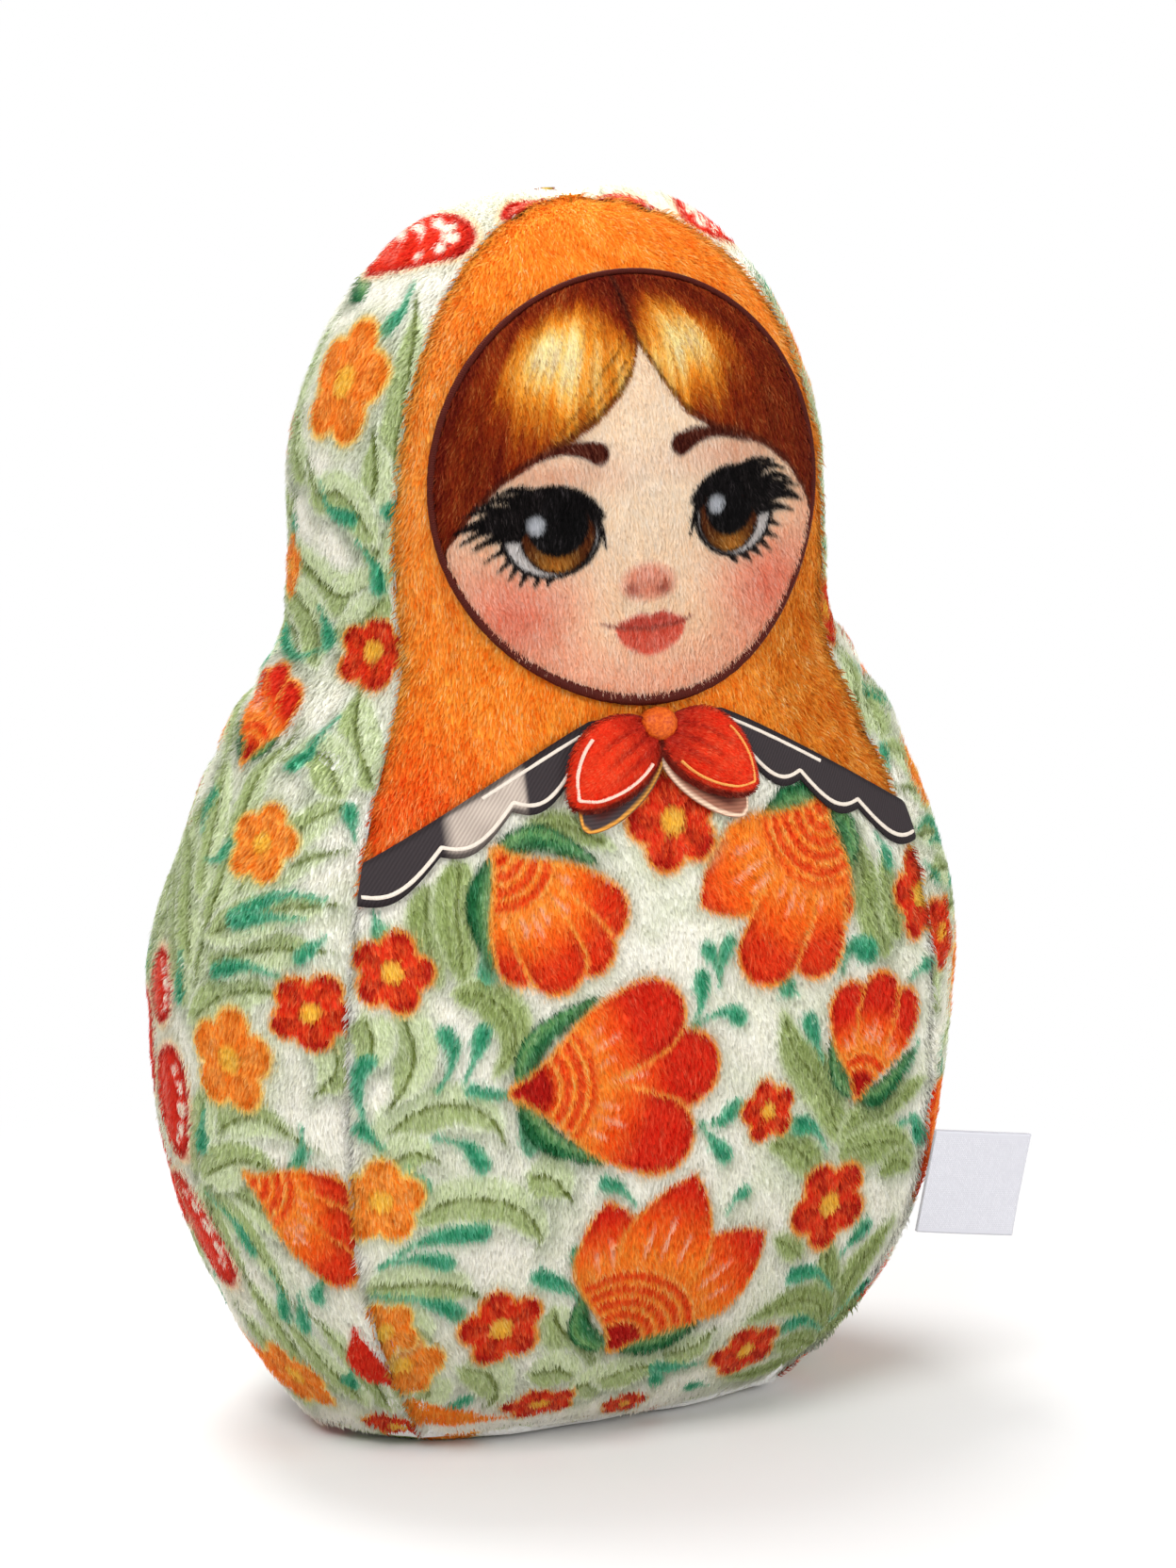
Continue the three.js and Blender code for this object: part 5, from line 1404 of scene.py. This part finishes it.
def satin_line(name, material, x, z, width, lift, height, looped=False, slant=0.0):
    """A raised line of satin stitch along places on the front panel. The ridges run across it."""
    line = lift_front(x, z, 0 * x)
    if looped:
        x, z, width = (np.append(values, values[0]) for values in (x, z, width))
        line = np.concatenate([line, line[:1]])
    run = run_along(line)
    count = int(run[-1] / THREAD_PITCH) * 4
    at = np.linspace(0, run[-1], count + 1)[:-1 if looped else None]
    x, z, width = np.interp(at, run, x), np.interp(at, run, z), np.interp(at, run, width)
    step = np.gradient(np.stack([x, z], -1), axis=0)
    across = unit(np.stack([-step[:, 1], step[:, 0]], -1))
    rings = []
    for offset, level in THREAD_SECTION:
        ridge = 0.72 + 0.28 * np.abs(np.sin(math.pi * (at / THREAD_PITCH + slant * offset)))
        uneven = 0.04 * lumps(np.stack([at, 0 * at + offset], -1), 1.1, 9)
        shift = width * (offset + np.sign(offset) * uneven * (abs(offset) > 0.4))
        top = lift + height * level * (ridge if level > 0 else 1)
        rings.append(lift_front(x + across[:, 0] * shift, z + across[:, 1] * shift, top))
    return loft(name, material, np.stack(rings, 1)[:, ::-1], looped)


# Rayon embroidery thread in satin stitch, a little uneven in shade along the line
def satin_thread(name, code, spread):
    material, surface = new_material(name, Roughness=0.6, Specular_IOR_Level=0.12)
    dark, light = linear(code) * (1 - spread), np.minimum(linear(code) * (1 + spread), 1)
    two_tone(material, surface, noise(material, 2.2, Detail=3.0), dark, light)
    return material


brown_satin = satin_thread("brown_rayon_satin_stitch", "#47130a", 0.3)
cream_satin = satin_thread("cream_rayon_satin_stitch", "#d3c8bb", 0.12)
ring_angle = np.linspace(0, 2 * math.pi, 400, endpoint=False)
upright = np.sin(ring_angle)
ring_width = BORDER_SIDE + (np.where(upright > 0, BORDER_TOP, BORDER_CHIN) - BORDER_SIDE) * upright ** 2
ring_width = ring_width * 0.82  # the pulled thread draws in
border_x, border_z = face_oval(ring_angle, ring_width / 2 - 0.2)
border_piece = satin_line("face_satin_border", brown_satin, border_x, border_z,
                          ring_width, SEAT, PLY + 0.1, True, 0.8)
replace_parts(border_piece, "face_border")


# Hem bands of the scarf: woven twill with a scalloped edge
def hem_depth(share):
    """Height of the band: its CAD depth, the scallop and the strip that is added towards the scarf."""
    return HEM_DEPTH + hem_strip(share) + HEM_SCALLOP_DEPTH * np.abs(np.sin(HEM_SCALLOPS * math.pi * share))


def hem_strip(share):
    return HEM_STRIP * np.minimum(1, 0.3 + 4 * share)


def hem_grid(side, share, down):
    top = KNOT_Z + KNOT_RADIUS / 2 - HEM_FALL * share ** HEM_FALL_POWER + hem_strip(share)
    z = top - hem_depth(share) * down
    return side * (HEM_START + (half_width(z) - HEM_MARGIN / 4 - HEM_START) * share), z


# Polyester twill, dyed charcoal: fine diagonal ribs, matt, paler where the ribs catch the light
hem_twill, surface = new_material("charcoal_polyester_twill", Roughness=0.85, Specular_IOR_Level=0.12)
flat_map = add(hem_twill, "UVMap", uv_map="flat")
TWILL = 0.75  # mm between ribs, a little coarser than the real cloth so that they show
turned = add(hem_twill, "Mapping", {"Vector": flat_map.outputs["UV"], "Rotation": (0, 0, math.radians(38))})
ribs = waves(hem_twill, turned.outputs["Vector"], TWILL, Distortion=0.6, Detail=1.0)
tint_print(hem_twill, surface, levels(hem_twill, ribs, 0.84, 1.14))
emboss(hem_twill, surface, ribs, 0.6, 0.15)


def hem_band(name, side):
    share, down = np.linspace(0, 1, 180)[:, None], np.linspace(0, 1, 15)[None, :]
    x, z = hem_grid(side, share, down)
    rounded = 0.5 * np.abs(2 * down - 1) ** 8 + 0 * share
    outer, inner = lift_front(x, z, SEAT + PLY - 0.3 - rounded), lift_front(x, z, SEAT + 0 * x)
    vertices, faces = shell(outer, inner, side > 0)
    piece = add_object(name, "doll", [hem_twill], vertices, [faces])
    flat = np.stack([arc_on_front(x, z), z], -1).reshape(-1, 2)
    dyed = Print(flat, "#332d2f")
    if side < 0:
        pale = fade(flat[:, 0] + 51, 3) * fade(-33 - flat[:, 0], 1.0)
        dyed.lay(EVERY, pale, "#b5a79b")
        dyed.lay(EVERY, 0.7 * pale * fade(lumps(flat, 6.0, 3), 1.0), "#8d7f76")
    edge = np.minimum(down * 7.5, (1 - down) * 7.5) + 0 * share
    dyed.lay(EVERY, 0.8 * fade(0.9 - edge.ravel(), 0.5), "#231d1f")
    dye(piece, np.tile(dyed.rgb, (2, 1)))
    lay_flat(piece, np.tile(flat, (2, 1)) * MM)
    grid_area(outer)
    return piece


for name, side in (("right_hem", -1), ("left_hem", 1)):
    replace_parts(hem_band(name, side), name + "_band")
    along = np.linspace(0.04, 0.99, 120)
    line_x, line_z = hem_grid(side, along, 1 - 2.0 / hem_depth(along))
    satin_line(name + "_scallop_line", cream_satin, line_x, line_z,
               0.85 + 0 * line_x, SEAT + PLY - 0.45, 0.45)
    along = np.linspace(0.02, 0.62, 80)
    line_x, line_z = hem_grid(side, along, 2.0 / hem_depth(along))
    satin_line(name + "_upper_line", cream_satin, line_x, line_z,
               0.75 + 0 * line_x, SEAT + PLY - 0.45, 0.4)


BOW_X, BOW_Z = -0.8, KNOT_Z + 1.2  # the bow is tied a little off the middle


# The bow: padded loops with a drawn-in root, over the tails behind them
def loop_half(share):
    return LOOP_NARROWED * LOOP_WIDTH / 2 * np.sin(math.pi * share ** 0.9) ** 0.62 + LOOP_ROOT * (1 - share)


def loop_grid(side, share, across, widen=1.0, slope=LOOP_SLOPE, longer=1.0):
    half = widen * loop_half(share)
    out = 1.4 + (LOOP_LENGTH + 2.6) * longer * share
    off = half * across + 1.3 * np.sin(math.pi * share)
    x = out * math.cos(slope) + off * math.sin(slope)
    return side * x + BOW_X, BOW_Z - out * math.sin(slope) + off * math.cos(slope), half


def edge_of_loop(share, across, half):
    return np.minimum(half * (1 - np.abs(across)), (1 - share) * LOOP_LENGTH)


def bow_loop(name, node, side):
    share, across = np.linspace(0, 1, 90)[:, None], np.linspace(-1, 1, 61)[None, :]
    x, z, half = loop_grid(side, np.minimum(share, LOOP_END), across)
    edge = edge_of_loop(share, across, half)
    crown = 2.6 * (1 - np.exp(-edge / 2.6)) * smoothstep(share, 0, 0.25)
    folds = 0.5 * np.exp(-share * 3.0) * np.cos(across * 9 + 0.6)
    folds = folds + 0.35 * bell_curve(across, 0.25 + 0.3 * share, 0.09) * (1 - share)
    cloth = applique(x, z, LAYER + 0.5 + crown - folds * smoothstep(edge, 0, 2), 0 * x)
    flat = np.stack([share * LOOP_LENGTH + 0 * across, half * across + 0 * share], -1)
    cloth.flat, cloth.hand = flat, side
    cloth.along = 0 * cloth.places + (side * math.cos(LOOP_SLOPE), 0, -math.sin(LOOP_SLOPE))
    cloth.normals = facing_front(grid_normals(cloth.places))

    def paint(places):
        ink = Print(places, "#ea4220")
        run, off = places.T
        part = np.clip(run / LOOP_LENGTH, 0, LOOP_END)
        wide = loop_half(part)
        inside = np.minimum(wide - np.abs(off), (1 - part) * LOOP_LENGTH)
        ink.lay(EVERY, 0.6 * fade(inside - 4, 4) * fade(part - 0.3, 0.3), "#f5582c")
        ink.lay(EVERY, 0.7 * fade(0.22 - part, 0.25), "#b02418")
        for fold in (-0.55, -0.1, 0.4):
            crease = fade(0.55 - np.abs(off - fold * wide * 0.8), 0.7)
            ink.lay(EVERY, 0.7 * crease * fade(0.5 - part, 0.3), "#b5271a")
        ink.lay(EVERY, 0.9 * fade(0.8 - inside, 0.6), "#6a1d12")
        return ink.rgb

    inner = lift_front(x, z, LAYER + 0 * x)
    vertices, faces = shell(cloth.surface, inner, side > 0)
    piece = add_object(name, "doll", [knit_ground], vertices, [faces])
    dye(piece, np.tile(paint(flat.reshape(-1, 2)), (2, 1)))
    lay_flat(piece, np.tile(flat.reshape(-1, 2), (2, 1)) * MM)
    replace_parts(piece, node)
    grow_pile(name + "_pile", cloth, paint, lambda f: f[..., 0] > -1,
              120 + side, density=9, length=1.3, width=0.2, lean=64)


bow_loop("right_bow", "right_bow_loop", -1)
bow_loop("left_bow", "left_bow_loop", 1)

# One row of stitching follows each loop's lower edge, its tip and part of its upper edge
for name, side, colour, width in (("right_bow", -1, "#f0c3b2", 0.8), ("left_bow", 1, "#e39c50", 0.6)):
    reach = np.linspace(0, math.pi / 2, 60)
    out = np.concatenate([0.24 + 0.68 * np.sin(reach), (0.5 + 0.42 * np.sin(reach))[::-1]])
    rounded = np.sqrt(np.clip(1 - np.clip((out - 0.78) / 0.14, 0, 1) ** 2, 0, 1))
    inset = (1 - 2.2 / loop_half(out)) * rounded * np.repeat([-1, 1], 60)
    line_x, line_z, _ = loop_grid(side, out, inset)
    loop_satin = satin_thread(name + "_rayon_satin_stitch", colour, 0.12)
    satin_line(name + "_stitch", loop_satin, line_x, line_z, width + 0 * line_x,
               LAYER + 1.9, 1.05)


def bow_tail(name, side, ground, edging):
    share, across = np.linspace(0.05, 1, 60)[:, None], np.linspace(-1, 1, 31)[None, :]
    x, z, half = loop_grid(side, np.minimum(share, LOOP_END), across, 0.95, LOOP_SLOPE + 0.2, 1.06)
    edge = edge_of_loop(share, across, half)
    outer = lift_front(x, z, LAYER - 0.12 - 0.3 * np.exp(-edge / 0.5))
    vertices, faces = shell(outer, lift_front(x, z, SEAT + PLY - 0.25 + 0 * x), side > 0)
    piece = add_object(name, "doll", [hem_twill], vertices, [faces])
    flat = np.stack([share * LOOP_LENGTH + 0 * across, half * across], -1).reshape(-1, 2)
    dyed = Print(flat, ground)
    dyed.lay(EVERY, 0.85 * fade(edge.ravel() - 2.6, 1.2) * fade(0.86 - flat[:, 0] / LOOP_LENGTH, 0.1),
             "#451a14")
    dyed.lay(EVERY, fade(0.45 - np.abs(edge.ravel() - 0.6), 0.3), edging)
    dye(piece, np.tile(dyed.rgb, (2, 1)))
    lay_flat(piece, np.tile(flat, (2, 1)) * MM)
    grid_area(outer)


bow_tail("right_bow_tail", -1, "#3d3334", "#c98a3a")
bow_tail("left_bow_tail", 1, "#8a5a48", "#d8b9a0")


def bow_knot():
    """A tight covered bead, its cloth gathered towards the rim."""
    rings, spokes = 22, 64
    tilt = np.linspace(0.03, math.pi / 2, rings)[:, None]
    spin = np.linspace(0, 2 * math.pi, spokes, endpoint=False)[None, :]
    gather = 0.02 * np.sin(13 * spin) * np.sin(tilt) ** 3
    radius = KNOT_RADIUS * np.sin(tilt) * (1 + gather)
    x, z = BOW_X + 1.08 * radius * np.cos(spin), BOW_Z + 0.92 * radius * np.sin(spin)
    dome = lift_front(x, z, SEAT + 1.6 + KNOT_HEIGHT * np.cos(tilt) + 0 * spin)
    under = lift_front(x[-1:], z[-1:], SEAT + 0 * x[-1:])
    rows = np.concatenate([dome, under])
    first = np.arange(spokes)[None]
    faces = [quads(len(rows), spokes, 0, True)[:, ::-1], first, first[:, ::-1] + rings * spokes]
    return add_object("covered_knot", "doll", [knot_cover], rows.reshape(-1, 3), faces)


# Brushed polyester over a bead: a short orange-red nap with lighter flecks
knot_cover, surface = new_material("brushed_polyester_knot", Roughness=0.5, Specular_IOR_Level=0.2)
nap = noise(knot_cover, 0.6, Detail=4.0)
worn = levels(knot_cover, nap, 0.0, 1.0, 0.3, 0.72)
two_tone(knot_cover, surface, worn, linear("#a83609"), linear("#dc681a"))
emboss(knot_cover, surface, nap, 0.5, 0.15)
knot_piece = bow_knot()
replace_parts(knot_piece, "bow_knot")

# Polyester sewing thread: off-white, slightly glossy and uneven in shade
seam_thread, surface = new_material("twisted_polyester_thread", Roughness=0.5)
two_tone(seam_thread, surface, noise(seam_thread, 0.8), linear("#cfcabb"), linear("#f2efe4"))
for node, inside in (("front_seam_thread", 2.0), ("back_seam_thread", 2.0), ("base_seam_thread", 2.4)):
    mesh = frame["nodes"][node].data.copy()
    spots = settle(np.array([v.co[:] for v in mesh.vertices]) / MM)
    heart = np.clip(spots, (0, 0, 12), (0, 0, 215))
    spots = spots + unit(heart - spots) * inside
    mesh.vertices.foreach_set("co", (spots * MM).astype(np.float32).ravel())
    mesh.materials.clear()
    mesh.materials.append(seam_thread)
    sewn = bpy.data.objects.new(node + "_sewn", mesh)
    bpy.context.scene.collection.objects.link(sewn)
    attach(sewn, "doll")
    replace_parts(sewn, node)

# The label: a ribbon folded on itself, sewn into the seam by its cut ends
label_flap = next(joint for joint in frame["joints"] if joint["name"] == "label_flap")
label_points = np.array([v.co[:] for v in frame["nodes"]["care_label"].data.vertices]) / MM
LABEL_AT = np.array(label_flap["pos_m"]) / MM
LABEL_ALONG = unit(np.array(label_flap["axis"]))
label_out = label_points.mean(0) - LABEL_AT
label_out = unit(label_out - LABEL_ALONG * (label_out @ LABEL_ALONG))
label_thick = np.cross(LABEL_ALONG, label_out)


def fold_line(count=150):
    """The folded ribbon's section: along it and off its middle plane, with the way out of its outer face."""
    radius = (LABEL_PLY + LABEL_GAP) / 2
    reach = LABEL_LENGTH - 2 * radius - LABEL_PLY
    run = np.linspace(0, 2 * reach + math.pi * radius, count)
    turn = np.clip((run - reach) / radius, 0, math.pi)
    straight = np.minimum(np.minimum(run, reach), 2 * reach + math.pi * radius - run)
    bulge = 0.12 * np.sin(math.pi * np.clip(straight / reach, 0, 1))
    a = straight + radius * np.sin(turn)
    b = (radius + bulge) * np.cos(turn)
    return a, b, np.sin(turn), np.cos(turn)


def ribbon_label():
    reach, off, way_out, way_off = fold_line()
    wide = np.linspace(-LABEL_WIDTH / 2, LABEL_WIDTH / 2, 61)[None, :]
    out = (reach / LABEL_LENGTH)[:, None]
    curl = 0.9 * out ** 2 * (0.6 + 0.4 * (wide / LABEL_WIDTH)) + 0.15 * np.cos(wide / 5) * out

    def at(offset):
        along = (reach + way_out * offset)[:, None] + 0 * wide
        thick = (off + way_off * offset)[:, None] + curl
        across = thick[..., None] * label_thick + wide[..., None] * LABEL_ALONG
        return LABEL_AT + along[..., None] * label_out + across

    vertices, faces = shell(at(LABEL_PLY / 2), at(-LABEL_PLY / 2), False)
    piece = add_object("ribbon_label", "label", [label_satin], vertices, [faces])
    run = np.linspace(0, 2 * LABEL_LENGTH, len(reach))[:, None] + 0 * wide
    flat = np.stack([wide + 0 * run, run], -1).reshape(-1, 2) * MM
    lay_flat(piece, np.tile(flat, (2, 1)))
    return piece


# Woven polyester satin ribbon: white floats along its length, a tight selvedge on both edges
label_satin, surface = new_material("woven_satin_ribbon", Roughness=0.42, Specular_IOR_Level=0.4)
flat_map = add(label_satin, "UVMap", uv_map="flat")
parts = add(label_satin, "SeparateXYZ", {0: flat_map.outputs["UV"]})
weave = add(label_satin, "TexBrick", {
    "Vector": flat_map.outputs["UV"], "Scale": 1.0,
    "Mortar Size": 0.06 * MM, "Brick Width": 0.9 * MM, "Row Height": 0.3 * MM,
    "Color1": (*linear("#d2d2d8"), 1), "Color2": (*linear("#c6c6cd"), 1), "Mortar": (*linear("#b2b2b9"), 1),
})
off_middle = add(label_satin, "Math", {0: parts.outputs["X"]}, operation="ABSOLUTE").outputs["Value"]
selvedge = levels(label_satin, off_middle, 0.0, 1.0, (LABEL_WIDTH / 2 - 1.3) * MM,
                  (LABEL_WIDTH / 2 - 1.0) * MM)
two_tone(label_satin, surface, selvedge, weave.outputs["Color"], linear("#c0c0c7"))
emboss(label_satin, surface, weave.outputs["Fac"], 0.35, 0.05, sunk=True)
label_piece = ribbon_label()
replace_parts(label_piece, "care_label")

# Siliconised polyester fibre: loose white curls in soft lumps, matt with a faint sheen
fibre_fill, surface = new_material("siliconised_polyester_fibre", Roughness=0.85, Sheen_Weight=0.3)
curls = noise(fibre_fill, 3, Detail=6.0, Distortion=2.0)
two_tone(fibre_fill, surface, curls, linear("#d9d8d2"), linear("#fbfbf8"))
emboss(fibre_fill, surface, curls, 0.9, 0.8)


def fibre_filling(name, node):
    """Loose fibre pressed into the cover: the node's form, evened out and lumpy."""
    mesh = frame["nodes"][node].data.copy()
    mesh.name = name
    piece = bpy.data.objects.new(name, mesh)
    bpy.context.scene.collection.objects.link(piece)
    even = piece.modifiers.new("even", "REMESH")
    even.mode, even.voxel_size = "VOXEL", 5 * MM
    depsgraph = bpy.context.evaluated_depsgraph_get()
    lumpy = bpy.data.meshes.new_from_object(piece.evaluated_get(depsgraph))
    piece.modifiers.clear()
    piece.data = lumpy
    bpy.data.meshes.remove(mesh)
    count = len(lumpy.vertices)
    spots, outward = np.empty(count * 3), np.empty(count * 3)
    lumpy.vertices.foreach_get("co", spots)
    lumpy.vertices.foreach_get("normal", outward)
    spots, outward = spots.reshape(-1, 3) / MM, outward.reshape(-1, 3)
    wave = lumps(spots[:, [0, 2]] + spots[:, [1, 1]] * 0.7, 12.0, 41) + 0.5 * lumps(spots[:, [1, 2]], 6.0, 42)
    spots = settle(spots - outward * (1.3 + wave)[:, None])
    lumpy.vertices.foreach_set("co", (spots * MM).ravel())
    lumpy.polygons.foreach_set("use_smooth", np.ones(len(lumpy.polygons), bool))
    lumpy.materials.clear()
    lumpy.materials.append(fibre_fill)
    lumpy.update()
    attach(piece, "doll")
    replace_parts(piece, node)


fibre_filling("head_fill", "head_stuffing")
fibre_filling("body_fill", "body_stuffing")


# Matt white studio paper. Near the doll its colour is a painted grey, painted shade that deepens the doll's
# soft shadow; further out camera rays see it glow plain white.
WHITE_FROM, WHITE_BY = 0.05, 0.27  # metres from the middle over which the paper turns white
floor_paper, surface = new_material("matt_studio_paper", Roughness=0.95, Specular_IOR_Level=0.1)
# Painted shade: the paper's own colour is grey, so it reads darker near the doll until camera rays see white
# beyond WHITE_FROM to WHITE_BY.
surface.inputs["Base Color"].default_value = (*linear("#dad9d8"), 1)
place = add(floor_paper, "TexCoord")
away = add(floor_paper, "VectorMath", {0: place.outputs["Object"]}, operation="LENGTH")
beyond = add(floor_paper, "MapRange",
             {"Value": away.outputs["Value"], "From Min": WHITE_FROM, "From Max": WHITE_BY},
             interpolation_type="SMOOTHSTEP")
seen = add(floor_paper, "LightPath").outputs["Is Camera Ray"]
share = add(floor_paper, "Math", {0: beyond.outputs["Result"], 1: seen},
            operation="MULTIPLY").outputs["Value"]
glow = add(floor_paper, "Emission", {"Color": (1, 1, 1, 1), "Strength": 1.0}).outputs["Emission"]
both = add(floor_paper, "MixShader", {0: share, 1: surface.outputs["BSDF"], 2: glow})
show(floor_paper, both)
mesh = bpy.data.meshes.new("studio_floor")
mesh.from_pydata([(-3, -3, 0), (3, -3, 0), (3, 3, 0), (-3, 3, 0)], [], [(0, 1, 2, 3)])
mesh.materials.append(floor_paper)
floor = bpy.data.objects.new("studio_floor", mesh)
bpy.context.scene.collection.objects.link(floor)

# The camera sees a white studio. The lamps are soft, and the world fills in between them
WORLD_LIGHT, WORLD_SEEN = 0.52, 1.0
LAMP_AIM = Vector((0, 0, 0.15))
world = bpy.data.worlds.new("studio")
bpy.context.scene.world = world
world.use_nodes = True
sky = world.node_tree.nodes["Background"]
sky.inputs["Color"].default_value = (1, 1, 1, 1)
seen = add(world, "LightPath").outputs["Is Camera Ray"]
link(world, levels(world, seen, WORLD_LIGHT, WORLD_SEEN), sky.inputs["Strength"])


def softbox(name, place, size, power):
    """A round lamp of a size in metres and a power in watts, aimed at the doll."""
    lamp = bpy.data.lights.new(name, "AREA")
    lamp.shape, lamp.size, lamp.energy = "DISK", size, power
    holder = bpy.data.objects.new(name, lamp)
    holder.location = place
    holder.rotation_euler = (LAMP_AIM - Vector(place)).to_track_quat("-Z", "Y").to_euler()
    bpy.context.scene.collection.objects.link(holder)


softbox("key_softbox", (-1.0, -0.85, 1.4), 0.9, 26)
softbox("top_softbox", (-0.1, 0.55, 1.45), 0.8, 22)
softbox("fill_softbox", (1.1, -1.4, 0.75), 1.0, 17)

# The camera, fitted to the photo's outline and seams. Shifts are in pixels of the photo's height
TARGET, CAMERA_FAR, PHOTO_HEIGHT = Vector((0, 0, 0.145)), 1.3, 1664
azimuth, elevation = math.radians(-26.4), math.radians(13.2)
level = math.cos(elevation)
to_camera = Vector((math.sin(azimuth) * level, -math.cos(azimuth) * level, math.sin(elevation)))
lens = bpy.data.cameras.new("camera")
lens.lens, lens.sensor_width = 129.1, 36
lens.shift_x, lens.shift_y = 33 / PHOTO_HEIGHT, 12 / PHOTO_HEIGHT
camera = bpy.data.objects.new("camera", lens)
camera.location = TARGET + to_camera * CAMERA_FAR
camera.rotation_euler = (-to_camera).to_track_quat("-Z", "Y").to_euler()
bpy.context.scene.collection.objects.link(camera)
bpy.context.scene.camera = camera
bpy.context.scene.view_settings.view_transform = "Standard"
